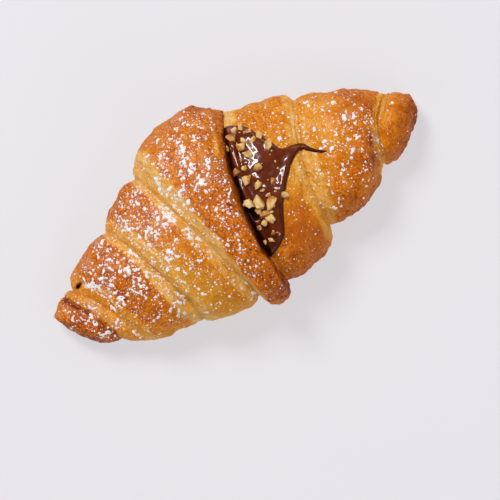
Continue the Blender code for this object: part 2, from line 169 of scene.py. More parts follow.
class Recipe:
    """A material that is being put together from nodes round one Principled shader."""

    def __init__(self, name: str) -> None:
        """Starts a material.

        Args:
            name: Its name.
        """
        self.material = bpy.data.materials.new(name)
        self.material.use_nodes = True
        self.tree = self.material.node_tree
        self.shader = self.tree.nodes["Principled BSDF"]

    def feed(self, socket: bpy.types.NodeSocket, value: "Signal | bpy.types.NodeSocket | Setting") -> None:
        """Links a socket to a signal or another socket, or sets its value.

        Args:
            socket: The input socket.
            value: What feeds it.
        """
        if isinstance(value, Signal):
            self.tree.links.new(value.socket, socket)
        elif isinstance(value, bpy.types.NodeSocket):
            self.tree.links.new(value, socket)
        else:
            socket.default_value = value

    def node(
        self, kind: str, settings: dict[str, Setting], sockets: dict[str | int, object]
    ) -> bpy.types.Node:
        """Adds a node.

        Args:
            kind: The node's type.
            settings: Its settings, which are made first. "stops" are a ramp's places and colours.
            sockets: Values or links for its input sockets, by name or number.

        Returns:
            The node.
        """
        node = self.tree.nodes.new(kind)
        for name, value in settings.items():
            if name == "stops":
                ramp = node.color_ramp
                while len(ramp.elements) < len(value):
                    ramp.elements.new(0.5)
                for element, (place, colour) in zip(ramp.elements, value):
                    element.position = place
                    element.color = (*colour, 1.0)
            else:
                setattr(node, name, value)
        for name, value in sockets.items():
            self.feed(node.inputs[name], value)
        return node

    def maths(self, operation: str, *terms: "Signal | float", clamp: bool = False) -> Signal:
        """Adds a Math node on the terms."""
        settings = {"operation": operation, "use_clamp": clamp}
        return Signal(self, self.node("ShaderNodeMath", settings, dict(enumerate(terms))).outputs[0])

    def reading(self, name: str) -> Signal:
        """A number that the mesh carries at each point."""
        return Signal(self, self.node("ShaderNodeAttribute", {"attribute_name": name}, {}).outputs["Fac"])

    def places(self, name: str) -> bpy.types.NodeSocket:
        """A place that the mesh carries at each point."""
        return self.node("ShaderNodeAttribute", {"attribute_name": name}, {}).outputs["Vector"]

    def where(self) -> bpy.types.NodeSocket:
        """The place of a point.

        Returns:
            The socket, in millimetres.
        """
        node = self.node("ShaderNodeTexCoord", {}, {})
        scaled = self.node("ShaderNodeVectorMath", {"operation": "SCALE"}, {0: node.outputs["Object"]})
        scaled.inputs["Scale"].default_value = 1.0 / MM
        return scaled.outputs[0]

    def stretched(self, place: bpy.types.NodeSocket, shares: Sides) -> bpy.types.NodeSocket:
        """Places multiplied by a share along each axis."""
        return self.node("ShaderNodeVectorMath", {"operation": "MULTIPLY"}, {0: place, 1: shares}).outputs[0]

    def mottle(self, place: bpy.types.NodeSocket, look: Mottle) -> Signal:
        """Noise at places.

        Args:
            place: The places.
            look: How coarse and how rough it is.

        Returns:
            The signal, from about -1 to 1.
        """
        sockets = {"Scale": 1.0 / look.size, "Detail": look.detail, "Roughness": look.rough}
        node = self.node("ShaderNodeTexNoise", {}, {"Vector": place, **sockets})
        return (Signal(self, node.outputs["Fac"]) - 0.5) * 2.4

    def ramp(self, level: Signal, stops: Sequence[tuple[float, Colour]]) -> bpy.types.NodeSocket:
        """The colour at a level of a ramp."""
        return self.node("ShaderNodeValToRGB", {"stops": stops}, {0: level}).outputs["Color"]

    def mixed(
        self,
        share: Signal | float,
        first: bpy.types.NodeSocket | Colour,
        second: bpy.types.NodeSocket | Colour,
    ) -> bpy.types.NodeSocket:
        """Lays a colour over another.

        Args:
            share: How much of it is laid.
            first: The colour below.
            second: The colour that is laid over it.

        Returns:
            The mixed colour.
        """
        colours = [(*value, 1.0) if isinstance(value, tuple) else value for value in (first, second)]
        sockets = {0: share, 6: colours[0], 7: colours[1]}
        return self.node("ShaderNodeMix", {"data_type": "RGBA"}, sockets).outputs[2]

    def raised(self, height: Signal, depth: float) -> bpy.types.NodeSocket:
        """The normal of a surface with a height from 0 to 1, which is depth millimetres deep."""
        sockets = {"Height": height, "Distance": depth * MM, "Strength": 1.0}
        return self.node("ShaderNodeBump", {}, sockets).outputs["Normal"]

    def finished(self, sockets: dict[str, object]) -> bpy.types.Material:
        """Ends the material.

        Args:
            sockets: What feeds the shader's sockets, by their names.

        Returns:
            The material.
        """
        for name, value in sockets.items():
            self.feed(self.shader.inputs[name], value)
        return self.material


@dataclass(frozen=True)
class CrustFinish:
    """Egg-washed crust: cream where it stayed pale, then golden, orange and brown where it baked longest."""

    stops: tuple[tuple[float, Colour], ...] = (
        (0.00, linear(244, 202, 130)),
        (0.22, linear(241, 177, 80)),
        (0.42, linear(234, 152, 40)),
        (0.60, linear(219, 125, 20)),
        (0.76, linear(197, 98, 10)),
        (0.90, linear(165, 71, 7)),
        (1.00, linear(116, 42, 5)),
    )
    golden: Colour = linear(222, 160, 42)
    # the colour of fine sugar, which on the far side also paints a sheen
    sugar_and_sheen: Colour = linear(238, 222, 218)
    # painted shade: the dark olive colour that stands in for the shade in cracks and creases
    crack_and_shade: Colour = linear(118, 80, 36)
    # the spread's brown, which on the widest turn's wall also paints the wall's shade
    smeared: Colour = linear(112, 48, 14)
    patches: Mottle = Mottle(6.0, 3.0)
    blots: Mottle = Mottle(2.2, 2.0, 0.6)
    specks: Mottle = Mottle(0.9, 3.0, 0.65)
    streaks: Mottle = Mottle(0.8, 3.0, 0.6)
    powder: Mottle = Mottle(0.5, 3.0, 0.75)
    grain: Mottle = Mottle(0.4, 2.0, 0.6)
    uneven: tuple[float, float, float] = (0.16, 0.25, 0.46)  # how much patches, blots and specks brown it
    streaked: tuple[float, float] = (0.08, 0.25)  # how much streaks do, everywhere and more on pale flanks
    streak_width: float = 0.09  # a streak's width as a share of its length round the roll
    powder_cover: float = 0.3  # how much of the crust's colour fine sugar hides
    relief: float = 0.55
    sheen: float = 0.27

    def material(self) -> bpy.types.Material:
        """Makes the material, which reads what the crust's mesh carries.

        Returns:
            The material.
        """
        recipe = Recipe("baked_crust")
        where = recipe.where()
        lay = recipe.places("lay")
        patches = recipe.mottle(where, self.patches)
        blots = recipe.mottle(where, self.blots)
        specks = recipe.mottle(where, self.specks)
        streaks = recipe.mottle(recipe.stretched(lay, (1.0, self.streak_width, 1.0)), self.streaks)
        paleness = recipe.reading("paleness")
        lively = 1.0 - recipe.reading("calm")

        patchy, blotted, speckled = self.uneven
        fine = (blots * blotted + specks * speckled) * lively
        level = recipe.reading("browning") + patches * patchy + fine
        level = (level + streaks * (paleness * self.streaked[1] + self.streaked[0])).limited()
        colour = recipe.ramp(level, self.stops)
        golden = (recipe.reading("golden") * (0.85 + patches * 0.9)).limited()
        colour = recipe.mixed(golden, colour, self.golden)
        # painted shade: cracks and creases are darkened where the gap reading is high
        colour = recipe.mixed(recipe.reading("gap"), colour, self.crack_and_shade)
        # powder is fine sugar, and on the far side also painted sheen
        powder = (recipe.reading("dust") + recipe.mottle(where, self.powder) * 0.6).stepped(0.3, 0.85)
        colour = recipe.mixed(powder * self.powder_cover, colour, self.sugar_and_sheen)
        # spread smeared on the crust, and on the widest turn's wall also painted shade
        smear = (recipe.reading("smear") + specks * 0.2).stepped(0.2, 0.85)
        colour = recipe.mixed(smear, colour, self.smeared)

        grain = specks * 0.4 + blots * 0.3 + recipe.mottle(where, self.grain) * 0.3
        normal = recipe.raised(grain + streaks * (paleness * 0.7 + 0.25), self.relief)
        roughness = (0.52 - level * 0.12 + specks * 0.06 + powder * 0.35 - smear * 0.16).limited()
        return recipe.finished(
            {
                "Base Color": colour,
                "Roughness": roughness,
                "Specular IOR Level": 0.05,
                "Coat Weight": (1.0 - powder) * recipe.reading("shine") * self.sheen,
                "Coat Roughness": 0.34,
                "Coat IOR": 1.3,
                "Subsurface Weight": 0.05,
                "Subsurface Radius": (1.0, 0.45, 0.2),
                "Subsurface Scale": 1.5 * MM,
                "Normal": normal,
            }
        )


@dataclass(frozen=True)
class SpreadFinish:
    """Glossy hazelnut spread, painted nearly black where it lies deep in shade beside the widest turn."""

    lit: Colour = linear(112, 42, 3)
    darker: Colour = linear(76, 22, 1)
    # painted shade: the near-black that stands in for the shade beside the widest turn, in the hollow and at
    # the near rim
    deep: Colour = linear(34, 8, 2)
    clouds: Mottle = Mottle(4.0)
    dimples: Mottle = Mottle(1.5)
    grain: Mottle = Mottle(0.5, 2.0, 0.6)
    relief: float = 0.12

    def material(self) -> bpy.types.Material:
        """Makes the material, which reads how shaded the spread is and where its rim is.

        Returns:
            The material.
        """
        recipe = Recipe("hazelnut_spread")
        where = recipe.where()
        depth = recipe.reading("depth")
        clouds = recipe.mottle(where, self.clouds)
        grain = recipe.mottle(where, self.grain)
        colour = recipe.mixed((clouds * 0.7 + 0.4).limited(), self.lit, self.darker)
        # painted shade, wherever the depth reading says the spread lies in shade
        colour = recipe.mixed(depth, colour, self.deep)
        matt = depth * 1.5 + recipe.reading("rim")
        height = clouds * 0.4 + recipe.mottle(where, self.dimples) * 0.22 + grain * 0.07
        return recipe.finished(
            {
                "Base Color": colour,
                "Roughness": (grain * 0.04 + 0.3).limited(),
                "Specular IOR Level": 0.1,
                "Coat Weight": (1.0 - matt).limited(),
                "Coat Roughness": 0.07,
                "Coat IOR": 1.58,
                "Normal": recipe.raised(height, self.relief),
            }
        )


@dataclass(frozen=True)
class NutFinish:
    """Roasted hazelnut: cream where it was chopped, tan on its round outside, with some brown skin."""

    stops: tuple[tuple[float, Colour], ...] = (
        (0.0, linear(246, 217, 158)),
        (0.35, linear(235, 191, 116)),
        (0.7, linear(215, 147, 62)),
        (1.0, linear(146, 82, 34)),
    )
    blots: Mottle = Mottle(1.3)
    grain: Mottle = Mottle(0.4, 3.0, 0.65)
    relief: float = 0.16

    def material(self) -> bpy.types.Material:
        """Makes the material, which reads how roasted each point is.

        Returns:
            The material.
        """
        recipe = Recipe("roasted_hazelnut")
        where = recipe.where()
        grain = recipe.mottle(where, self.grain)
        level = (recipe.reading("roast") + recipe.mottle(where, self.blots) * 0.2 + grain * 0.16).limited()
        return recipe.finished(
            {
                "Base Color": recipe.ramp(level, self.stops),
                "Roughness": (grain * 0.08 + 0.5).limited(),
                "Subsurface Weight": 0.1,
                "Subsurface Radius": (1.0, 0.6, 0.3),
                "Subsurface Scale": 1.0 * MM,
                "Normal": recipe.raised(grain, self.relief),
            }
        )


@dataclass(frozen=True)
class SugarFinish:
    """Icing sugar, soft and nearly white."""

    bright: Colour = linear(252, 248, 248)
    greyer: Colour = linear(236, 226, 228)
    clouds: Mottle = Mottle(1.0)
    grain: Mottle = Mottle(0.16, 3.0, 0.7)
    relief: float = 0.05

    def material(self) -> bpy.types.Material:
        """Makes the material.

        Returns:
            The material.
        """
        recipe = Recipe("icing_sugar")
        where = recipe.where()
        grain = recipe.mottle(where, self.grain)
        grey = (recipe.mottle(where, self.clouds) * 0.4 + grain * 0.3 + 0.3).limited()
        return recipe.finished(
            {
                "Base Color": recipe.mixed(grey, self.bright, self.greyer),
                "Roughness": (grain * 0.05 + 0.9).limited(),
                "Specular IOR Level": 0.2,
                "Subsurface Weight": 0.2,
                "Subsurface Radius": (1.0, 0.95, 0.9),
                "Subsurface Scale": 0.4 * MM,
                "Normal": recipe.raised(grain, self.relief),
            }
        )


@dataclass(frozen=True)
class FloorFinish:
    """A pale matt table that glows faintly, so that the shadows on it stay light."""

    pale: Colour = linear(133, 132, 134)
    paler: Colour = linear(136, 135, 137)
    glow: Colour = linear(196, 194, 197)
    clouds: Mottle = Mottle(90.0)

    def material(self) -> bpy.types.Material:
        """Makes the material.

        Returns:
            The material.
        """
        recipe = Recipe("pale_table")
        clouds = recipe.mottle(recipe.where(), self.clouds)
        colour = recipe.mixed((clouds * 0.5 + 0.5).limited(), self.pale, self.paler)
        return recipe.finished(
            {
                "Base Color": colour,
                "Roughness": 0.85,
                "Specular IOR Level": 0.1,
                "Emission Color": (*self.glow, 1.0),
                "Emission Strength": 1.0,
            }
        )


def kept_in_box(points: np.ndarray) -> np.ndarray:
    """Moves points that are past the solid's box back inside it, in metres."""
    low, high = (np.array(corner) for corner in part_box("croissant"))
    return np.clip(points, low + (CLEAR_OF_BOX * MM, CLEAR_OF_BOX * MM, 0.0), high - CLEAR_OF_BOX * MM)


def new_piece(
    name: str,
    places: np.ndarray,
    faces: Sequence[Sequence[int]],
    material: bpy.types.Material,
    readings: dict[str, np.ndarray],
) -> bpy.types.Object:
    """Makes a smooth mesh piece that rides on the croissant.

    Args:
        name: The piece's name.
        places: Its points, in metres.
        faces: The numbers of each face's points.
        material: What it is made of.
        readings: Numbers or places that the points carry for the material.

    Returns:
        The piece.
    """
    mesh = bpy.data.meshes.new(name)
    mesh.from_pydata(places.tolist(), [], faces)
    mesh.materials.append(material)
    mesh.shade_smooth()
    for reading, values in readings.items():
        flat = values.ndim == 1
        attribute = mesh.attributes.new(reading, "FLOAT" if flat else "FLOAT_VECTOR", "POINT")
        attribute.data.foreach_set("value" if flat else "vector", values.astype(np.float32).ravel())
    piece = bpy.data.objects.new(name, mesh)
    bpy.context.scene.collection.objects.link(piece)
    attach(piece, "root")
    return piece


RISE_ROUNDING = 0.05  # how much of the way to each side of a corner in a rise is rounded off


class Rise(Enum):
    """How a turn rises to its crown: shares of the way there, with the share of its swell that is reached."""

    GENTLE = ((0.0, 0.0), (0.12, 0.22), (0.36, 0.6), (0.68, 0.91), (1.0, 1.0))
    LAYERED = ((0.0, 0.0), (0.045, 0.3), (0.15, 0.38), (0.2, 0.62), (0.42, 0.85), (0.7, 0.97), (1.0, 1.0))
    SLOPED = ((0.0, 0.0), (0.13, 0.3), (0.27, 0.49), (0.43, 0.83), (0.62, 0.95), (1.0, 1.0))
    LATE = ((0.0, 0.0), (0.4, 0.05), (0.7, 0.6), (1.0, 1.0))
    CLIFF = ((0.0, 0.0), (0.05, 0.3), (0.11, 0.62), (0.2, 0.82), (0.36, 0.94), (0.65, 0.99), (1.0, 1.0))

    def at(self, way: np.ndarray) -> np.ndarray:
        """The rise, with its corners rounded off.

        Args:
            way: Shares of the way to the crown.

        Returns:
            The share of the swell reached at each.
        """
        places, reached = np.array(self.value).T
        around = np.minimum(RISE_ROUNDING, way)
        softened = [np.interp(way + around * k, places, reached) for k in (-1.0, -0.5, 0.0, 0.5, 1.0)]
        return np.mean(softened, axis=0)


@dataclass(frozen=True)
class Swell:
    """How far one side of a turn swells: its size, where that is, and how it rises from either crease."""

    size: float
    peak: float
    left: Rise
    right: Rise

    def at(self, share: np.ndarray) -> np.ndarray:
        """The swell along the turn.

        Args:
            share: Shares of the turn's length.

        Returns:
            How far it swells at each.
        """
        rising = self.left.at(share / self.peak)
        falling = self.right.at((1.0 - share) / (1.0 - self.peak))
        return self.size * np.where(share < self.peak, rising, falling)


STATIONS = (1.0, 1.0 / 3.0, -1.0 / 3.0, -1.0)  # the places across the roll where a crease is given


@dataclass(frozen=True)
class Crease:
    """A line between two turns.

    along holds its places along the roll at the far side, at a third and two thirds of the way, and at the
    near side. far, near and top are how far out and how high it lies. crack is how deep it is cut, and how
    much painted shade darkens the crust along it.
    """

    along: tuple[float, float, float, float]
    far: float
    near: float
    top: float
    crack_and_shade: Sides = (0.0, 0.0, 0.0)

    def at(self, across: np.ndarray) -> np.ndarray:
        """Where it lies along the roll.

        Args:
            across: Places across the roll, from 1 at the far side to -1.

        Returns:
            The place along the roll at each.
        """
        place = np.zeros_like(across)
        for station, along in zip(STATIONS, self.along):
            weight = np.ones_like(across)
            for other in STATIONS:
                if other != station:
                    weight = weight * (across - other) / (station - other)
            place = place + along * weight
        return place


@dataclass(frozen=True)
class Flank:
    """The strip of a turn beside a crease: its width, its browning, and how much its layers stand out."""

    width: Sides = (0.0, 0.0, 0.0)
    level: float = 0.5
    layers: float = 0.0


@dataclass(frozen=True)
class Turn:
    """One turn of the rolled dough: its swells, how browned it is, its two flanks and how sugared it is."""

    far: Swell
    near: Swell
    top: Swell
    browning: Sides
    left: Flank
    right: Flank
    sugar: Sides
    lean: float = 0.0  # how much more browned it is towards its right


GENTLE, LAYERED, SLOPED, LATE, CLIFF = Rise.GENTLE, Rise.LAYERED, Rise.SLOPED, Rise.LATE, Rise.CLIFF


@dataclass(frozen=True)
class Roll:
    """The rolled dough: eight turns between nine creases, from its pointed left tip to its blunt end."""

    creases: tuple[Crease, ...] = (
        Crease((-87.0, -87.0, -87.0, -87.0), 1.4, 1.4, 9.5),
        Crease((-79.0, -73.8, -69.9, -68.0), 5.8, -21.6, 17.5, (0.2, 0.25, 0.1)),
        Crease((-74.9, -67.7, -62.8, -59.5), 7.0, -26.2, 21.5, (0.6, 0.2, 0.2)),
        Crease((-50.4, -43.3, -38.5, -34.8), 20.2, -32.6, 31.5, (0.25, 0.5, 1.1)),
        Crease((-29.1, -21.8, -16.3, -10.8), 32.0, -36.5, 40.0, (0.1, 0.4, 1.0)),
        Crease((15.8, 6.0, 1.4, 2.2), 36.3, -36.5, 40.5, (0.5, 0.0, 0.3)),
        Crease((43.6, 35.2, 30.3, 28.6), 25.0, -26.4, 34.5, (0.2, 0.2, 0.1)),
        Crease((76.2, 67.7, 63.4, 60.3), 7.7, -17.4, 25.0, (0.1, 0.12, 0.0)),
        Crease((84.9, 83.6, 80.4, 77.4), 1.8, -12.2, 15.0),
    )
    turns: tuple[Turn, ...] = (
        Turn(
            Swell(0.6, 0.50, GENTLE, GENTLE),
            Swell(2.7, 0.45, GENTLE, GENTLE),
            Swell(2.2, 0.55, GENTLE, GENTLE),
            (0.64, 0.84, 0.80),
            Flank(),
            Flank((1.2, 2.0, 1.6), 0.9),
            (0.12, 0.22, 0.36),
        ),
        Turn(
            Swell(0.7, 0.50, GENTLE, GENTLE),
            Swell(0.8, 0.45, GENTLE, GENTLE),
            Swell(2.2, 0.40, LAYERED, GENTLE),
            (0.44, 0.44, 0.54),
            Flank((0.5, 0.5, 0.5), 0.6),
            Flank((1.5, 1.5, 1.5), 0.37, 0.4),
            (0.14, 0.20, 0.06),
        ),
        Turn(
            Swell(3.6, 0.24, LAYERED, GENTLE),
            Swell(0.9, 0.40, LAYERED, GENTLE),
            Swell(5.0, 0.40, LAYERED, GENTLE),
            (0.69, 0.79, 0.60),
            Flank((4.5, 5.5, 3.4), 0.46, 0.3),
            Flank((1.6, 4.2, 5.8), 0.21, 0.5),
            (0.20, 0.19, 0.05),
        ),
        Turn(
            Swell(2.6, 0.30, LAYERED, GENTLE),
            Swell(2.2, 0.42, LAYERED, GENTLE),
            Swell(5.2, 0.42, LAYERED, GENTLE),
            (0.72, 0.60, 0.50),
            Flank((3.4, 7.4, 5.6), 0.28, 0.4),
            Flank((2.0, 3.2, 4.0), 0.27, 0.5),
            (0.22, 0.19, 0.02),
        ),
        Turn(
            Swell(10.7, 0.50, LAYERED, SLOPED),
            Swell(6.4, 0.58, LAYERED, LAYERED),
            Swell(9.5, 0.52, LAYERED, CLIFF),
            (0.63, 0.74, 0.71),
            Flank((8.0, 4.6, 1.6), 0.2, 0.5),
            Flank((0.6, 1.0, 1.7), 0.90),
            (0.2, 0.15, 0.02),
            0.04,
        ),
        Turn(
            Swell(2.7, 0.84, LATE, LAYERED),
            Swell(5.8, 0.72, GENTLE, LAYERED),
            Swell(4.2, 0.60, GENTLE, LAYERED),
            (0.56, 0.58, 0.74),
            Flank((5.0, 1.0, 0.0), 0.14, 0.5),
            Flank((3.4, 5.0, 3.4), 0.33, 0.3),
            (0.07, 0.04, 0.0),
        ),
        Turn(
            Swell(2.8, 0.58, GENTLE, GENTLE),
            Swell(5.0, 0.44, GENTLE, LAYERED),
            Swell(5.2, 0.56, GENTLE, LAYERED),
            (0.60, 0.62, 0.77),
            Flank((0.8, 5.4, 3.4), 0.29, 0.4),
            Flank((1.6, 3.6, 3.0), 0.42, 1.6),
            (0.10, 0.12, 0.0),
            0.13,
        ),
        Turn(
            Swell(0.6, 0.50, GENTLE, GENTLE),
            Swell(2.4, 0.52, GENTLE, GENTLE),
            Swell(3.6, 0.46, GENTLE, GENTLE),
            (0.59, 0.72, 0.73),
            Flank((2.6, 1.4, 1.0), 0.38, 1.4),
            Flank(),
            (0.05, 0.01, 0.0),
            0.11,
        ),
    )
    left_tip: int = 0
    widest: int = 4
    right_end: int = 7
    waist: float = 0.40  # the height of the roll's widest level, as a share of its full height
    roundness: tuple[float, float] = (2.15, 2.25)  # above and below the waist, where 2 is an ellipse
    base_sink: float = 1.7  # how far the rounded underside would reach below the table
    tip_lift: tuple[float, float] = (4.0, 3.2)  # how far the underside lifts off the table at each end
    end_bulge: Sides = (2.0, -1.0, 0.3)  # how far the blunt right end bulges, along, across and up
    tip_power: float = 0.62  # under 1 rounds the pointed tip
    tip_height: float = 2.2  # how steeply the pointed tip gains its height
    side_fade: tuple[float, float] = (0.1, 0.85)  # how far under the roll a swell starts and ends to fade
    lifted: tuple[tuple[float, float], ...] = ((-58.0, -84.0), (56.0, 84.0))  # where each starts and ends
    waves: tuple[tuple[float, float, float, float], ...] = (  # height, turns along and round, and start
        (0.45, 0.31, 2.0, 0.0),
        (0.4, 0.17, -3.0, 1.3),
        (0.3, 0.53, 5.0, 0.4),
        (0.25, 0.71, -7.0, 2.1),
    )
    waves_across: float = 0.6  # how much of the waves goes into the roll's width

    def across(self, angle: np.ndarray) -> np.ndarray:
        """How far across the roll a place lies, from 1 at the far side to -1, at angles round the roll."""
        roundness = np.where(np.sin(angle) >= 0.0, *self.roundness)
        return np.sign(np.cos(angle)) * np.abs(np.cos(angle)) ** (2.0 / roundness)

    def unevenness(self, along: np.ndarray, angle: np.ndarray) -> np.ndarray:
        """The slow waves that keep the hand-rolled dough from being regular.

        Args:
            along: Places along the roll.
            angle: Their angles round it.

        Returns:
            How far each place is moved out.
        """
        return sum(
            height * np.sin(ahead * along + around * angle + start)
            for height, ahead, around, start in self.waves
        )

    def surface(self, index: int, share: np.ndarray, angle: np.ndarray) -> np.ndarray:
        """Places on a turn.

        Args:
            index: The turn's number from the left.
            share: Shares of the turn's length, one for each row.
            angle: Angles round the roll, one for each column.

        Returns:
            The places, row by row.
        """
        turn, start, end = self.turns[index], self.creases[index], self.creases[index + 1]
        share, angle = np.meshgrid(share, angle, indexing="ij")
        grow = share**self.tip_power if index == self.left_tip else share
        across = self.across(angle)
        rounding = 2.0 / np.where(np.sin(angle) >= 0.0, *self.roundness)
        rise = np.sign(np.sin(angle)) * np.abs(np.sin(angle)) ** rounding

        side_swell = 1.0 - smooth_step(*self.side_fade, -np.sin(angle))
        far = between(start.far, end.far, grow) + turn.far.at(share) * side_swell
        near = between(start.near, end.near, grow) - turn.near.at(share) * side_swell
        height = between(start.top, end.top, grow) + turn.top.at(share)

        middle, half = (far + near) / 2.0, (far - near) / 2.0
        along = between(start.at(across), end.at(across), share)
        lift = sum(height * smooth_step(*reach, along) for height, reach in zip(self.tip_lift, self.lifted))
        waist = self.waist * height
        if index == self.left_tip:
            lift = between(start.top - 1.0 + self.base_sink, lift, np.minimum(1.0, self.tip_height * grow))
            waist = between(start.top, waist, grow)
        under = lift - self.base_sink
        uneven = self.unevenness(along, angle) * smooth_step(0.0, 8.0, half)
        reach = np.where(np.sin(angle) >= 0.0, height - waist, waist - under)
        up = waist + reach * rise + uneven * np.maximum(rise, 0.0)
        out = middle + (half + self.waves_across * uneven) * across
        return np.stack([along, out, np.maximum(up, 0.0)], axis=-1)

    def edge_of_widest(self, share: float, place_across: float) -> float:
        """Where a share of the widest turn's length lies.

        Args:
            share: The share, which is 1 at the turn's right crease.
            place_across: The place across the roll, in millimetres.

        Returns:
            The place along the roll.
        """
        start, end = self.creases[self.widest], self.creases[self.widest + 1]
        across = np.array([(place_across - (end.far + end.near) / 2.0) / ((end.far - end.near) / 2.0)])
        return float(between(start.at(across), end.at(across), share)[0])

    def shift(self) -> np.ndarray:
        """What is taken off a place to bring it into the frame.

        Returns:
            The shift, found from where the corner of the solid's box is.
        """
        low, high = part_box("croissant")
        widest = self.turns[self.widest].far.peak
        far = self.surface(self.widest, np.array([widest]), np.array([0.0]))[0, 0, 1]
        return np.array([self.creases[0].along[0] - low.x / MM, far - high.y / MM, 0.0])


@dataclass(frozen=True)
class Split:
    """The split beside the widest turn.

    edge is its outline seen from above, clockwise from its far end. The widest turn's own edge closes it.
    """

    roll: Roll
    edge: tuple[tuple[float, float], ...] = (
        (10.8, 27.6),
        (12.4, 28.7),
        (14.9, 28.4),
        (18.0, 26.4),
        (20.9, 23.6),
        (21.9, 20.6),
        (23.3, 17.6),
        (25.2, 14.0),
        (26.9, 10.1),
        (28.9, 9.0),
        (31.7, 8.5),
        (34.3, 7.8),
        (36.3, 6.4),
        (37.3, 4.4),
        (38.5, 2.8),
        (39.8, 1.4),
        (41.2, 0.3),
        (42.5, -0.6),
        (40.8, -0.1),
        (39.3, 0.9),
        (37.8, 2.3),
        (36.2, 3.9),
        (35.0, 5.2),
        (33.3, 5.6),
        (30.7, 4.7),
        (27.4, 2.3),
        (22.9, -1.8),
        (18.2, -6.7),
        (14.4, -12.0),
        (12.0, -16.6),
        (9.6, -20.2),
        (5.8, -22.7),
        (1.7, -24.2),
    )
    steps: int = 5  # outline points for each stretch between two of those
    left_points: int = 60  # outline points along the widest turn's edge
    mitre: float = 0.8  # keeps an inset from shooting out at a sharp corner
    up_the_edge: float = 0.075  # how far up that edge it reaches, as a share of the turn's length
    rim_depth: float = 0.7
    depth: float = 5.0
    depth_within: float = 4.5  # how far from the rim it gets that deep
    above: float = 20.0  # the lowest crust that it may cut

    def outline(self, inset: float = 0.0) -> np.ndarray:
        """The outline seen from above, moved inwards.

        Args:
            inset: How far it is moved.

        Returns:
            Its points, clockwise.
        """
        knots = [np.array(point) for point in self.edge]
        knots = [2.0 * knots[0] - knots[1], *knots, 2.0 * knots[-1] - knots[-2]]
        points = []
        for before, start, end, after in zip(knots, knots[1:], knots[2:], knots[3:]):
            for t in np.arange(self.steps) / self.steps:
                turned, square = end - before, 2.0 * before - 5.0 * start + 4.0 * end - after
                cube = 3.0 * start - before - 3.0 * end + after
                points.append(0.5 * (2.0 * start + turned * t + square * t**2 + cube * t**3))
        points.append(knots[-2])
        low, high = points[-1][1], points[0][1]
        for across in between(low, high, (np.arange(self.left_points) + 0.5) / self.left_points):
            points.append(np.array([self.roll.edge_of_widest(1.0 - self.up_the_edge, across), across]))
        outline = np.array(points)
        ahead = np.roll(outline, -1, axis=0) - outline
        ahead /= np.linalg.norm(ahead, axis=1)[:, None]
        inward = np.stack([ahead[:, 1], -ahead[:, 0]], axis=1)
        both = inward + np.roll(inward, 1, axis=0)
        return outline + inset * 2.0 * both / np.maximum((both**2).sum(axis=1), self.mitre)[:, None]

    def inside(self, places: np.ndarray) -> np.ndarray:
        """How far places lie inside the outline.

        Args:
            places: The places, seen from above.

        Returns:
            The distance of each from the outline, less than 0 outside it.
        """
        outline = self.outline()
        turning = np.zeros(len(places))
        nearest = np.full(len(places), 1e9)
        for a, b in zip(outline, np.roll(outline, -1, axis=0)):
            to_a, to_b, side = a - places, b - places, b - a
            beside = to_a[:, 0] * to_b[:, 1] - to_a[:, 1] * to_b[:, 0]
            turning += np.arctan2(beside, (to_a * to_b).sum(axis=1))
            share = np.clip(-(to_a @ side) / (side @ side), 0.0, 1.0)
            nearest = np.minimum(nearest, np.linalg.norm(to_a + share[:, None] * side, axis=1))
        return np.where(np.abs(turning) > math.pi, nearest, -nearest)

    def depth_at(self, inside: np.ndarray) -> np.ndarray:
        """How deep the split is at distances inside its outline."""
        rounding = 1.0 - (1.0 - np.clip(inside / self.depth_within, 0.0, 1.0)) ** 2
        return between(self.rim_depth, self.depth, rounding)


@dataclass
class Shell:
    """One closed part of the crust while it is formed: a grid of rows along the roll by columns round it.

    Each place has the number of its turn, the share of that turn's length, how far across the roll it is,
    and its angle round it. readings is what the places carry for the material.
    """

    places: np.ndarray
    turn: np.ndarray
    share: np.ndarray
    across: np.ndarray
    angle: np.ndarray
    readings: dict[str, np.ndarray] = field(default_factory=dict)

    def normals(self) -> np.ndarray:
        """Which way the surface faces.

        Returns:
            The outward direction at each place.
        """
        along = np.gradient(self.places, axis=0)
        closed = np.concatenate([self.places[:, -1:], self.places, self.places[:, :1]], axis=1)
        round_it = (closed[:, 2:] - closed[:, :-2]) / 2.0
        outward = np.cross(round_it, along)
        return outward / np.maximum(np.linalg.norm(outward, axis=2, keepdims=True), 1e-6)

    def girth(self) -> np.ndarray:
        """How far round the roll each place lies.

        Returns:
            The way from the top, in millimetres.
        """
        steps = np.linalg.norm(np.diff(self.places, axis=1, prepend=self.places[:, :1]), axis=2)
        travelled = np.cumsum(steps, axis=1)
        top = np.argmin(np.abs(self.angle[0] - math.pi / 2.0))
        return travelled - travelled[:, top : top + 1]


@dataclass(frozen=True)
class Patch:
    """An oval patch seen from above: its middle, half sizes, heading in degrees, and how much it changes."""

    x: float
    y: float
    long: float
    short: float
    heading: float
    amount: float

    def at(self, places: np.ndarray) -> np.ndarray:
        """What the patch adds, most in its middle.

        Args:
            places: Points, with their coordinates last.

        Returns:
            The amount at each.
        """
        turn = math.radians(self.heading)
        x, y = places[..., 0] - self.x, places[..., 1] - self.y
        ahead = x * math.cos(turn) + y * math.sin(turn)
        aside = y * math.cos(turn) - x * math.sin(turn)
        return self.amount * np.exp(-((ahead / self.long) ** 2 + (aside / self.short) ** 2))


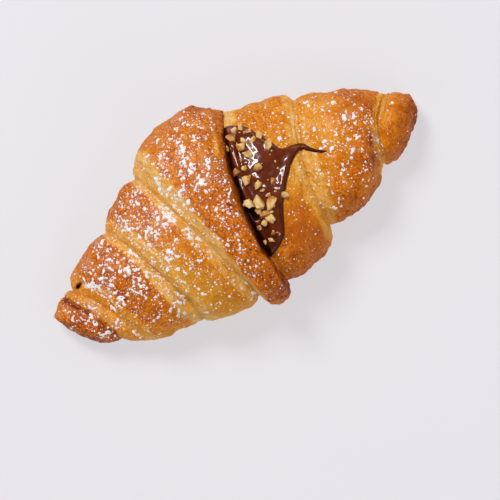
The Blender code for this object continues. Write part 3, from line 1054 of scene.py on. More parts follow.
@dataclass(frozen=True)
class Crust:
    """The crust, in two closed shells that meet in the crease right of the widest turn."""

    roll: Roll
    split: Split
    sugar: "IcingSugar"
    shift: np.ndarray
    columns: tuple[int, int] = (240, 50)  # above the waist and below it
    row_gap: tuple[float, float] = (0.24, 0.46)  # beside a crease and on a crown
    row_reach: tuple[float, float] = (1.5, 6.0)  # how far from a crease rows start and end to spread out
    end_rows: int = 22  # how finely the blunt right end is rounded off
    skin_in: float = 0.3  # how far the skin's middle level lies inside the solid's surface
    crack_width: tuple[float, float] = (0.65, 0.5)  # a crack's width, and what is added at the near side, where its painted shade spreads wider
    under_browning: float = 0.62  # what baked on the tray
    layer_browning: float = 0.16  # how much a layer that stands out is browner
    swells: tuple[float, float] = (0.45, 13.0)  # how high the skin's slow swells are and how far apart
    bumps: tuple[float, float] = (0.22, 5.5)  # the same for its bumps
    bumps_more: float = 0.2  # what is added to the height of bumps on the sides
    blisters: tuple[float, float] = (0.32, 2.6)  # for its blisters, with finer ones half as large
    wrinkles: tuple[float, float] = (0.2, 1.7)  # for its wrinkles
    layers_out: float = 0.22  # how far a flank's layers stand out
    flanks_in: float = 0.28  # how far a pale flank lies in
    wall_width: float = 2.4  # the part of the widest turn's top that comes out with its wall
    wall_out: float = 0.8  # how far the widest turn's right wall comes out, so that it shows from above
    coated_and_shaded: tuple[tuple[float, ...], ...] = (  # places across, and how far up the wall spread is smeared and painted shade darkens it
        (-25.0, -15.0, 0.0, 10.0, 20.0, 28.0),
        (1.8, 2.2, 1.6, 2.2, 2.0, 1.9),
    )
    dust_and_sheen: tuple[float, float] = (0.17, 0.08)  # fine sugar and painted sheen on the far side, left of the split and right of it
    patches: tuple[Patch, ...] = (  # what is more or less browned than its turn; one beside the spread is in part painted sheen
        Patch(-58.0, -27.0, 9.0, 4.0, -28, -0.16),
        Patch(57.0, -19.0, 5.0, 4.0, 0, -0.2),
        Patch(-78.4, 4.4, 1.3, 2.8, -68, 0.16),
        Patch(-84.0, 0.5, 4.0, 2.0, 30, -0.12),
        Patch(20.0, -18.0, 9.0, 7.0, 60, 0.07),
        Patch(-47.0, -31.0, 9.0, 4.0, -20, -0.12),
        Patch(-30.0, -35.0, 14.0, 4.0, -8, -0.18),
        Patch(-25.0, -12.0, 3.5, 6.0, 0, 0.16),
        Patch(-22.0, -27.0, 3.0, 4.0, 0, 0.16),
        Patch(84.0, -7.0, 2.6, 4.0, -20, 0.22),
        Patch(8.0, 42.0, 6.0, 2.5, -10, 0.14),
        Patch(-3.0, -38.0, 5.0, 4.0, 0, 0.1),
        Patch(6.2, 24.4, 6.0, 0.8, 64, -0.42),
        # lighter crust beside the spread's lower rim, in part a painted sheen
        Patch(25.5, -4.0, 6.0, 4.0, 50, -0.24),
        Patch(27.0, 14.0, 3.0, 5.0, -20, -0.1),
        Patch(8.0, -26.0, 4.0, 2.0, 30, -0.12),
        Patch(50.0, -21.0, 6.0, 2.5, 20, -0.14),
        Patch(79.0, -14.0, 4.0, 2.5, 40, -0.14),
        Patch(12.0, -22.0, 6.0, 5.0, 45, 0.08),
        Patch(48.0, 6.0, 5.0, 8.0, -10, -0.17),
        Patch(4.5, -29.0, 3.0, 5.0, 0, -0.14),
        Patch(-50.0, 17.0, 3.0, 3.5, 0, 0.12),
        Patch(-46.5, 20.0, 3.0, 3.0, 0, 0.1),
        Patch(63.5, 11.0, 7.0, 3.0, -55, 0.13),
        Patch(54.0, -13.0, 5.0, 3.0, 20, 0.12),
        Patch(58.0, 0.0, 5.0, 3.5, 30, -0.07),
        Patch(72.0, -2.0, 4.0, 3.0, -60, -0.1),
        Patch(60.0, -8.0, 4.0, 2.5, -70, 0.1),
        Patch(37.4, 15.9, 6.2, 0.9, 63, -0.45),
        Patch(39.3, 15.0, 5.5, 0.8, 68, 0.26),
        Patch(47.5, 17.0, 6.0, 3.0, -10, -0.14),
        Patch(62.8, -4.5, 6.5, 0.9, 70, -0.3),
        Patch(60.2, -6.0, 6.0, 1.2, 69, 0.04),
        Patch(66.4, -3.5, 6.0, 0.7, 70, 0.16),
    )
    golden: tuple[Patch, ...] = (  # what is yellower
        Patch(-29.0, -20.0, 17.0, 9.0, -72, 0.75),
        Patch(-52.0, -33.0, 12.0, 4.0, -24, 0.5),
    )
    calm: tuple[Patch, ...] = (  # what is less speckled
        Patch(18.0, -20.0, 16.0, 9.0, -50, 0.9),
        Patch(-47.0, -14.0, 10.0, 3.0, -72, 0.6),
        Patch(58.0, 2.0, 30.0, 20.0, -15, 0.45),
    )
    hazes: tuple[Patch, ...] = (  # what fine sugar lies on besides
        Patch(-67.5, -12.0, 11.0, 3.0, -66, 0.34),
        Patch(58.0, 9.0, 7.0, 5.0, -30, 0.1),
    )
    dents: tuple[Patch, ...] = (  # small holes, the first with spread in it, and a small blister
        Patch(-71.3, 6.7, 1.5, 0.8, 30, -4.0),
        Patch(-75.4, 7.4, 1.2, 1.6, 0, -1.2),
        Patch(48.3, 23.9, 1.9, 0.9, -20, 0.9),
        Patch(46.4, 23.4, 0.8, 1.2, 20, -0.7),
    )

    def angles(self) -> np.ndarray:
        """Angles round the roll, closer together above the waist.

        Returns:
            The angles, one for each column.
        """
        above, below = self.columns
        upper = np.arange(above) * math.pi / above
        return np.concatenate([upper, math.pi + np.arange(below) * math.pi / below])

    def shares(self, index: int) -> np.ndarray:
        """Places a turn's rows, closer together beside its creases.

        Args:
            index: The turn's number.

        Returns:
            The share of the turn's length at each row.
        """
        fine = np.linspace(0.0, 1.0, 600)
        if index == self.roll.left_tip:
            fine = 0.001 + 0.999 * fine**1.8
        lines = self.roll.surface(index, fine, np.array([0.3, 1.2, 2.0, 2.8]))
        steps = np.linalg.norm(np.diff(lines, axis=0), axis=2).mean(axis=1)
        travelled = np.concatenate([[0.0], np.cumsum(steps)])
        from_crease = np.minimum(travelled, travelled[-1] - travelled)
        gap = between(*self.row_gap, smooth_step(*self.row_reach, from_crease))
        rows = np.concatenate([[0.0], np.cumsum(steps / gap[1:])])
        count = int(round(rows[-1]))
        return np.interp(np.arange(count) / count * rows[-1], rows, fine)

    def shell(self, first: int, last: int) -> Shell:
        """The smooth form of some turns.

        Args:
            first: The first turn's number.
            last: The last turn's number.

        Returns:
            The shell, with its blunt end if it has the last turn.
        """
        angle = self.angles()
        places, turn, share = [], [], []
        for index in range(first, last + 1):
            shares = self.shares(index)
            if index == last:
                shares = np.append(shares, 1.0)
            places.append(self.roll.surface(index, shares, angle))
            turn += [index] * len(shares)
            share += list(shares)
        if last == self.roll.right_end:
            rim = places[-1][-1]
            middle = rim.mean(axis=0)
            for size in np.cos(np.linspace(0.0, math.pi / 2.0, self.end_rows)[1:-1]):
                bulge = np.array(self.roll.end_bulge) * (1.0 - size**2)
                places.append((middle + (rim - middle) * size + bulge)[None])
                turn.append(last)
                share.append(1.0)
        places = np.concatenate(places)
        rows, columns = places.shape[:2]
        return Shell(
            places,
            np.repeat(np.array(turn)[:, None], columns, axis=1),
            np.repeat(np.array(share)[:, None], columns, axis=1),
            np.repeat(self.roll.across(angle)[None], rows, axis=0),
            np.repeat(angle[None], rows, axis=0),
        )

    def baked(self, shell: Shell, girth: np.ndarray) -> list[np.ndarray]:
        """How each turn was baked.

        Args:
            shell: The smooth shell.
            girth: How far round the roll its places lie from the top.

        Returns:
            For each place how browned it is, how pale as part of a flank, how deeply cracked, which also sets
            the painted shade in its cracks, and how far its layers stand out.
        """
        baked = [np.zeros(shell.turn.shape) for _ in range(4)]
        for index, turn in enumerate(self.roll.turns):
            here = shell.turn == index
            if not here.any():
                continue
            part = shell.places[here]
            side = shell.across[here]
            start, end = self.roll.creases[index], self.roll.creases[index + 1]
            from_left = part[:, 0] - start.at(side)
            from_right = end.at(side) - part[:, 0]
            drawn = np.stack([from_left, girth[here], np.full(len(part), 9.0 * index)], axis=1)
            ragged = 1.1 * ripple(drawn * (0.3, 1.0, 1.0), 9.0, 3, 4)
            brown = over_sides(turn.browning, side) + turn.lean * (2.0 * shell.share[here] - 1.0)
            pale, layered, crack_depth_and_shade = (np.zeros(len(part)) for _ in range(3))
            for flank, away in ((turn.left, from_left), (turn.right, from_right)):
                width = over_sides(flank.width, side)
                edge = width + ragged * np.minimum(1.0, width / 3.0)
                soft = 0.25 + 0.22 * width
                strip = (1.0 - smooth_step(-soft, soft, away - edge)) * smooth_step(0.0, 0.4, width)
                brown = between(brown, flank.level, strip)
                laid = np.stack([away, girth[here] * 0.07, np.full(len(part), 5.0 * index)], axis=1)
                layered += flank.layers * strip * ripple(laid, 1.0, 8 + index, 2)
                pale = np.maximum(pale, strip * min(1.0, flank.layers + 0.2))
            closed = np.clip(0.55 + 0.45 * ripple(drawn * (0.0, 1.0, 1.0), 6.0, 21), 0.15, 1.2)
            wide = self.crack_width[0] + self.crack_width[1] * smooth_step(0.0, -0.8, side)
            for crease, away in ((start, from_left), (end, from_right)):
                crack_depth_and_shade += over_sides(crease.crack_and_shade, side) * closed * np.exp(-((away / wide) ** 2))
            for whole, found in zip(baked, (brown, pale, crack_depth_and_shade, layered)):
                whole[here] = found
        return baked

    def relief(
        self, places: np.ndarray, girth: np.ndarray, up: np.ndarray, paleness: np.ndarray, layers: np.ndarray
    ) -> np.ndarray:
        """How far the skin stands out, from slow swells to blisters and wrinkles.

        Args:
            places: The smooth shell's places.
            girth: How far round the roll they lie from the top.
            up: How far each one faces up.
            paleness: How far each one is part of a pale flank.
            layers: How its layers stand out.

        Returns:
            The height at each place.
        """
        sideways = 1.0 - smooth_step(0.2, 0.8, up)
        drawn_out = np.stack([places[..., 0], girth * 0.35, places[..., 2] * 0.2], axis=-1)
        large = np.maximum(0.0, ripple(places, self.blisters[1], 5))
        small = np.maximum(0.0, ripple(places, self.blisters[1] / 2.0, 6))
        return (
            self.swells[0] * ripple(places, self.swells[1], 1)
            + (self.bumps[0] + self.bumps_more * sideways) * ripple(places, self.bumps[1], 2)
            + self.blisters[0] * (large + 0.5 * small) * (1.0 - 0.7 * paleness)
            + self.wrinkles[0] * ripple(drawn_out, self.wrinkles[1], 4, 2)
            + self.layers_out * layers
            - self.flanks_in * paleness
        )

    def sugar_and_sheen(self, shell: Shell, places: np.ndarray) -> np.ndarray:
        """How much fine sugar hazes a shell, with painted sheen on its far side.

        Args:
            shell: The shell.
            places: Its smooth places.

        Returns:
            The amount at each place.
        """
        dust = self.sugar.density(places[..., :2].reshape(-1, 2)).reshape(shell.turn.shape)
        left, right = self.dust_and_sheen
        dust_and_sheen = left * smooth_step(-0.2, 0.4, shell.across) * (shell.turn <= self.roll.widest)
        dust_and_sheen = dust_and_sheen + right * (shell.turn == self.roll.right_end - 1) * smooth_step(-0.2, 0.4, shell.across)
        dust_and_sheen = dust_and_sheen + sum(patch.at(places) for patch in self.hazes)
        return np.clip(dust, 0.0, 0.6) + dust_and_sheen

    def form(self, shell: Shell) -> None:
        """Gives a smooth shell its skin: its relief, and what it carries for the material.

        Args:
            shell: The shell, which is changed.
        """
        places, across, height = shell.places, shell.across, shell.places[..., 2]
        girth, up = shell.girth(), shell.normals()[..., 2]
        above = smooth_step(0.4, 4.0, height)
        upwards = smooth_step(-0.2, 0.3, up)
        browning, paleness, gap, layers = self.baked(shell, girth)
        for patch in self.patches:
            browning += patch.at(places) * above
        browning += self.layer_browning * np.clip(layers, -1.0, 1.0)
        relief = self.relief(places, girth, up, paleness, layers)
        outward = relief * above - self.skin_in * smooth_step(0.0, 1.0, height) - gap * above
        shell.places = places + shell.normals() * outward[..., None]
        for dent in self.dents:
            shell.places[..., 2] += dent.at(places) * upwards

        under = self.under_browning + 0.1 * ripple(places, 9.0, 14)
        hole = -self.dents[0].at(places) * upwards * (1.0 + 0.9 * ripple(places, 0.9, 15))
        lay = [places[..., 0] - self.roll.creases[self.roll.widest].at(across), girth, across]
        shell.readings = {
            "browning": between(under, browning, smooth_step(0.5, 5.0, height)),
            "paleness": paleness,
            # painted shade: the gap reading darkens the crust's colour in its cracks and creases
            "gap": np.clip(0.4 * gap, 0.0, 0.7) * above,
            "lay": np.stack(lay, axis=-1),
            "calm": np.clip(sum(patch.at(places) for patch in self.calm), 0.0, 0.8),
            "golden": np.clip(sum(patch.at(places) for patch in self.golden), 0.0, 0.6) * above,
            # the dust reading is fine sugar, and on the far side painted sheen
            "dust": self.sugar_and_sheen(shell, places) * upwards,
            "shine": smooth_step(0.05, 0.55, up),
            "smear": np.clip(hole - 0.7, 0.0, 1.0),
        }

    def walled(self, shell: Shell) -> None:
        """Brings out the widest turn's right wall, and smears it with spread, whose dark colour also paints
        the wall's shade.

        Args:
            shell: The shell, which is changed.
        """
        crease = self.roll.creases[self.roll.widest + 1]
        widest = shell.turn == self.roll.widest
        away = crease.at(shell.across) - shell.places[..., 0]
        y, z = shell.places[..., 1], shell.places[..., 2]
        wall = widest * (1.0 - smooth_step(0.0, self.wall_width, away))
        shell.places[..., 0] += self.wall_out * smooth_step(-8.0, 4.0, y) * wall * smooth_step(4.0, 12.0, z)
        # besides the spread smeared on the wall, its dark colour is painted shade
        coat_and_shade = widest * (1.0 - smooth_step(0.0, 1.3, away / np.interp(y, *self.coated_and_shaded)))
        coat_and_shade = coat_and_shade * smooth_step(-26.0, -24.5, y) * (1.0 - smooth_step(26.5, 29.5, y))
        shell.readings["smear"] = np.maximum(shell.readings["smear"], coat_and_shade * (z > self.split.above))

    def split_open(self, shell: Shell) -> None:
        """Sinks the crust where the spread lies.

        Args:
            shell: The shell, which is changed.
        """
        outline = self.split.outline(-1.0)
        flat = shell.places[..., :2]
        within = (flat > outline.min(axis=0)) & (flat < outline.max(axis=0))
        here = within.all(axis=-1) & (shell.places[..., 2] > self.split.above)
        inside = self.split.inside(shell.places[here][:, :2])
        beside = shell.turn[here] > self.roll.widest
        shell.places[here, 2] -= np.where((inside > 0.0) & beside, self.split.depth_at(inside), 0.0)
        edge = smooth_step(0.0, 0.35, inside + 0.15 * ripple(shell.places[here], 1.6, 9)) * beside
        shell.readings["smear"][here] = np.maximum(shell.readings["smear"][here], edge)

    def faces_of(self, rows: int, columns: int) -> list[tuple[int, ...]]:
        """The faces of a closed grid with a pole before its first row and one after its last.

        Args:
            rows: How many rows it has.
            columns: How many columns it has.

        Returns:
            The numbers of each face's points, the poles being the last two.
        """
        faces = []
        for row in range(rows - 1):
            for i in range(columns):
                j = (i + 1) % columns
                corner = row * columns
                faces.append((corner + i, corner + columns + i, corner + columns + j, corner + j))
        first, last, end = rows * columns, rows * columns + 1, (rows - 1) * columns
        for i in range(columns):
            j = (i + 1) % columns
            faces.append((first, i, j))
            faces.append((last, end + j, end + i))
        return faces

    def made(self, name: str, shell: Shell, poles: tuple[np.ndarray, np.ndarray]) -> bpy.types.Object:
        """Makes a shell's piece, kept inside the solid's box.

        Args:
            name: The piece's name.
            shell: The formed shell.
            poles: The points that close its ends.

        Returns:
            The piece.
        """
        rows, columns = shell.places.shape[:2]
        points = np.concatenate([shell.places.reshape(-1, 3), *[pole[None] for pole in poles]])
        points = kept_in_box((points - self.shift) * MM)
        readings = {}
        for reading, values in shell.readings.items():
            flat = values.reshape(rows * columns, -1)
            ends = np.stack([values[0].mean(axis=0), values[-1].mean(axis=0)]).reshape(2, -1)
            flat = np.concatenate([flat, ends])
            readings[reading] = flat[:, 0] if values.ndim == 2 else flat
        piece = new_piece(name, points, self.faces_of(rows, columns), CrustFinish().material(), readings)
        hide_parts("croissant")
        return piece

    def tucked(self, shell: Shell, at_end: bool, steps: Sequence[tuple[float, float]]) -> np.ndarray:
        """Closes an end of a shell, out of sight.

        Args:
            shell: The shell, which gets more rows.
            at_end: Whether its last row is closed, or its first.
            steps: Each new row's size as a share, and how far along it lies.

        Returns:
            The pole, which closes it wholly.
        """
        ring = shell.places[-1 if at_end else 0]
        middle = ring.mean(axis=0)
        rows = [middle + (ring - middle) * size + np.array([move, 0.0, 0.0]) for size, move in steps]
        rows = rows if at_end else rows[::-1]
        order = (lambda old, new: (old, new)) if at_end else (lambda old, new: (new, old))
        shell.places = np.concatenate(order(shell.places, np.array(rows)))
        row = slice(-1, None) if at_end else slice(0, 1)
        for reading, values in shell.readings.items():
            added = np.repeat(values[row], len(rows), axis=0)
            shell.readings[reading] = np.concatenate(order(values, added))
        return middle + np.array([steps[-1][1], 0.0, 0.0])

    def halves(self) -> tuple[Shell, Shell]:
        """The smooth forms of the turns up to the widest one, and of those after it."""
        widest = self.roll.widest
        return self.shell(self.roll.left_tip, widest), self.shell(widest + 1, self.roll.right_end)

    def dough(self) -> "Ground":
        """The smooth form of the whole roll, without its skin or the split.

        Returns:
            The ground that it makes.
        """
        places = np.concatenate([shell.places for shell in self.halves()])
        rows, columns = places.shape[:2]
        points = [Vector(place) for place in ((places.reshape(-1, 3) - self.shift) * MM).tolist()]
        faces = self.faces_of(rows, columns)[: (rows - 1) * columns]
        return Ground(BVHTree.FromPolygons(points, faces), self.shift)

    def build(self) -> list[bpy.types.Object]:
        """Builds both shells.

        Returns:
            Their pieces, from left to right.
        """
        left, right = self.halves()
        for shell in (left, right):
            self.form(shell)
        self.walled(left)
        for shell in (left, right):
            self.split_open(shell)
        tip = np.array([self.roll.creases[0].along[0], self.roll.creases[0].far, self.roll.creases[0].top])
        behind = self.tucked(left, True, ((0.98, -0.8), (0.9, -2.0), (0.5, -2.5)))
        before = self.tucked(right, False, ((0.985, -1.2), (0.97, -2.6), (0.85, -4.0), (0.4, -4.2)))
        end = right.places[-1].mean(axis=0)
        return [self.made("crust_left", left, (tip, behind)), self.made("crust_right", right, (before, end))]


@dataclass(frozen=True)
class Ground:
    """What small things come to lie on: the surface of some pieces, found from straight above."""

    tree: BVHTree
    shift: np.ndarray

    @classmethod
    def under(cls, pieces: Sequence[bpy.types.Object], shift: np.ndarray) -> "Ground":
        """The ground that pieces make together.

        Args:
            pieces: The pieces.
            shift: What was taken off their places.

        Returns:
            The ground.
        """
        points: list[Vector] = []
        faces: list[tuple[int, ...]] = []
        for piece in pieces:
            start = len(points)
            points += [vertex.co for vertex in piece.data.vertices]
            faces += [tuple(start + i for i in face.vertices) for face in piece.data.polygons]
        return cls(BVHTree.FromPolygons(points, faces), shift)

    def below(self, x: float, y: float) -> tuple[np.ndarray, np.ndarray] | None:
        """What lies under a point seen from above.

        Args:
            x: Its place along the roll.
            y: Its place across it.

        Returns:
            The place and its outward direction, or None beside the ground.
        """
        start = Vector(((x - self.shift[0]) * MM, (y - self.shift[1]) * MM, 1.0))
        hit, normal, _, _ = self.tree.ray_cast(start, Vector((0.0, 0.0, -1.0)))
        if hit is None:
            return None
        if normal.z < 0.0:
            normal = -normal
        return np.array(hit) / MM + self.shift, np.array(normal)


@dataclass(frozen=True)
class Ridge:
    """A fold or dent in the spread, along a line seen from above; a dent's height is less than 0."""

    line: tuple[tuple[float, float], ...]
    width: float
    height: float

    def at(self, places: np.ndarray) -> np.ndarray:
        """What it adds to the height.

        Args:
            places: The places, seen from above.

        Returns:
            The height at each.
        """
        nearest = np.full(len(places), 1e9)
        ends = self.line if len(self.line) > 1 else (*self.line, (self.line[0][0] + 1e-3, self.line[0][1]))
        for a, b in zip(np.array(ends), np.array(ends)[1:]):
            share = np.clip(((places - a) @ (b - a)) / ((b - a) @ (b - a)), 0.0, 1.0)
            nearest = np.minimum(nearest, np.linalg.norm(places - a - share[:, None] * (b - a), axis=1))
        return self.height * np.exp(-((nearest / self.width) ** 2))


@dataclass(frozen=True)
class Spread:
    """The hazelnut spread that fills the split."""

    split: Split
    shift: np.ndarray
    grid: float = 0.42  # how far apart its points lie
    spill: float = 0.35  # how far it lies over the split's edge
    rims: tuple[float, ...] = (-0.25, -0.1, 0.1, 0.35, 0.65, 1.0)  # insets of the rows that round its rim
    sunk: float = 0.55  # how far its lowest rim lies under the dough's surface
    rim_height: float = 1.5
    rim_width: float = 1.7
    off_the_bottom: float = 0.3  # how far its underside lies over the split's
    thinnest: float = 0.15
    bank: float = 1.7  # how much more it stands up beside the widest turn
    bank_from_crease: float = 2.1
    bank_width: float = 1.8
    crevice: float = 1.6  # how deep the gap is between it and the widest turn
    crevice_width: float = 0.95
    waves: tuple[float, float] = (0.13, 0.045)  # how high its long and its short waves are
    lumps: float = 0.26  # how high its lumps at the near side are
    hollow_shade: Ridge = Ridge(((4.6, -5.2), (4.9, -7.4)), 2.0, 1.6)  # darkens the deepest of the folds
    swells: tuple[Patch, ...] = (
        Patch(18.2, -4.6, 3.6, 3.0, 60, 1.4),
        Patch(27.2, 1.6, 3.0, 2.6, 90, 0.9),
        Patch(8.0, -15.0, 3.4, 2.0, 100, 0.6),
    )
    folds: tuple[Ridge, ...] = (
        Ridge(((9.0, 13.0), (12.6, 12.4)), 0.9, 0.4),
        Ridge(((20.6, 21.0), (22.2, 17.5), (24.2, 13.0)), 2.4, 1.1),
        Ridge(((13.6, 0.0), (16.2, -1.4), (18.6, -3.2)), 1.1, 0.3),
        Ridge(((4.6, -5.2), (4.9, -7.4)), 1.5, -3.6),
        Ridge(((10.7, 20.4),), 0.5, -0.9),
        Ridge(((14.0, 7.0), (18.0, 5.4), (24.0, 6.4)), 2.0, -0.35),
        Ridge(((33.4, 6.9), (30.6, 6.2), (27.0, 3.9), (22.3, -0.2), (17.6, -5.4), (13.6, -11.1)), 1.4, 0.7),
        Ridge(((13.9, -11.4), (11.3, -15.9), (8.7, -19.2), (5.3, -21.4), (2.3, -22.7)), 0.9, 0.5),
    )

    def plan(self) -> tuple[np.ndarray, np.ndarray, list[tuple[int, ...]], int]:
        """The spread seen from above.

        Returns:
            Its points with the outline first, how far each lies inside, its triangles, and the number of
            points in the outline.
        """
        outline = self.split.outline(-self.spill)
        low, high = outline.min(axis=0), outline.max(axis=0)
        points = list(outline)
        for inset in self.rims:
            ring = self.split.outline(inset)
            inside = self.split.inside(ring)
            points += [place for place, reached in zip(ring, inside) if reached > inset - 0.05]
        row_step = self.grid * math.sqrt(0.75)
        rows, columns = int((high[1] - low[1]) / row_step), int((high[0] - low[0]) / self.grid)
        grid = [
            (low[0] + (column + 0.5 * (row % 2)) * self.grid, low[1] + row * row_step)
            for row in range(rows + 1)
            for column in range(columns + 1)
        ]
        grid = np.array(grid)
        points += list(grid[self.split.inside(grid) > self.rims[-1] + 0.3 * self.grid])
        count = len(outline)
        edges = [(i, (i + 1) % count) for i in range(count)]
        found = delaunay_2d_cdt([Vector(point) for point in points], edges, [list(range(count))], 1, 1e-6)
        places = np.array([tuple(point) for point in found[0]])
        inside = np.maximum(-self.spill, self.split.inside(places))
        inside[:count] = -self.spill
        return places, inside, [tuple(face) for face in found[2]], count

    def lumpy(self, places: np.ndarray) -> np.ndarray:
        """How lumpy it is at places seen from above: wholly at the near side, and not in the middle."""
        return 1.0 - smooth_step(-16.0, -6.0, places[:, 1])

    def top(
        self, places: np.ndarray, inside: np.ndarray, beside: np.ndarray, level: np.ndarray
    ) -> np.ndarray:
        """How high it stands.

        Args:
            places: Its points, seen from above.
            inside: How far each lies inside the split's outline.
            beside: How far each lies right of the widest turn.
            level: The height of the unsplit dough at each.

        Returns:
            The height of each point.
        """
        bank = self.bank * np.exp(-(((beside - self.bank_from_crease) / self.bank_width) ** 4))
        bank -= self.crevice * np.exp(-((np.maximum(beside, 0.0) / self.crevice_width) ** 2))
        way = np.clip((inside + self.spill) / self.rim_width, 0.0, 1.0)
        full = smooth_step(0.0, 2.5, inside)
        upper = level - self.sunk + self.rim_height * np.sqrt(1.0 - (1.0 - way) ** 2) + bank * full
        for fold in self.folds:
            upper += fold.at(places) * smooth_step(0.0, 1.2, inside)
        flat = np.append(places, np.zeros((len(places), 1)), axis=1)
        upper += sum(swell.at(flat) for swell in self.swells) * smooth_step(0.0, 2.0, inside)
        upper += (self.waves[0] * ripple(flat, 4.6, 31) + self.waves[1] * ripple(flat, 1.9, 32)) * full
        upper += self.lumps * ripple(flat, 2.6, 33, 2) * self.lumpy(places) * full
        return upper

    def shade(self, places: np.ndarray, inside: np.ndarray, beside: np.ndarray) -> np.ndarray:
        """How shaded it is.

        Args:
            places: Its points, seen from above.
            inside: How far each lies inside the split's outline.
            beside: How far each lies right of the widest turn.

        Returns:
            The shade of each, from 0 to 1.
        """
        near_half = 1.0 - smooth_step(9.0, 14.0, places[:, 1])
        depth = 1.0 - smooth_step(0.6 + 0.4 * near_half, 2.0 + 0.8 * near_half, beside)
        depth = np.maximum(depth, np.clip(self.hollow_shade.at(places), 0.0, 1.0))
        outer = 0.5 * (1.0 - smooth_step(0.3, 1.9, inside)) * (1.0 - smooth_step(4.0, 9.0, places[:, 1]))
        depth = np.maximum(depth, outer)
        return np.maximum(depth, 0.5 * self.lumpy(places) * (1.0 - smooth_step(3.0, 9.0, beside)))

    def build(self, ground: Ground) -> bpy.types.Object:
        """Builds the spread.

        Args:
            ground: What the unsplit dough makes.

        Returns:
            The piece.
        """
        places, inside, triangles, rim = self.plan()
        crease = np.array([self.split.roll.edge_of_widest(1.0, y) for y in places[:, 1]])
        right_of = np.maximum(places[:, 0], crease + 0.25)
        level = np.array([ground.below(x, y)[0][2] for x, y in zip(right_of, places[:, 1])])
        beside = places[:, 0] - crease
        upper = self.top(places, inside, beside, level)
        lower = level - self.split.depth_at(inside) + self.off_the_bottom
        lower = np.minimum(lower, upper - self.thinnest)
        count = len(places)
        points = np.concatenate([np.column_stack([places, upper]), np.column_stack([places, lower])])
        faces = list(triangles) + [tuple(count + i for i in reversed(face)) for face in triangles]
        faces += [(i, (i + 1) % rim, count + (i + 1) % rim, count + i) for i in range(rim)]
        # the depth reading carries painted shade, which darkens the spread's colour
        depth = self.shade(places, inside, beside)
        rounded = 0.9 * (1.0 - smooth_step(0.2, 1.1, inside))
        readings = {"depth": np.concatenate([depth, depth]), "rim": np.concatenate([rounded, rounded])}
        points = (points - self.shift) * MM
        piece = new_piece("hazelnut_spread", points, faces, SpreadFinish().material(), readings)
        made = bmesh.new()
        made.from_mesh(piece.data)
        bmesh.ops.recalc_face_normals(made, faces=made.faces)
        made.to_mesh(piece.data)
        made.free()
        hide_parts("chocolate")
        return piece


@dataclass(frozen=True)
class Nut:
    """One chopped piece: its place seen from above, its sizes, its heading in degrees, and its roast."""

    x: float
    y: float
    long: float
    wide: float
    heading: float
    roast: float = 0.35


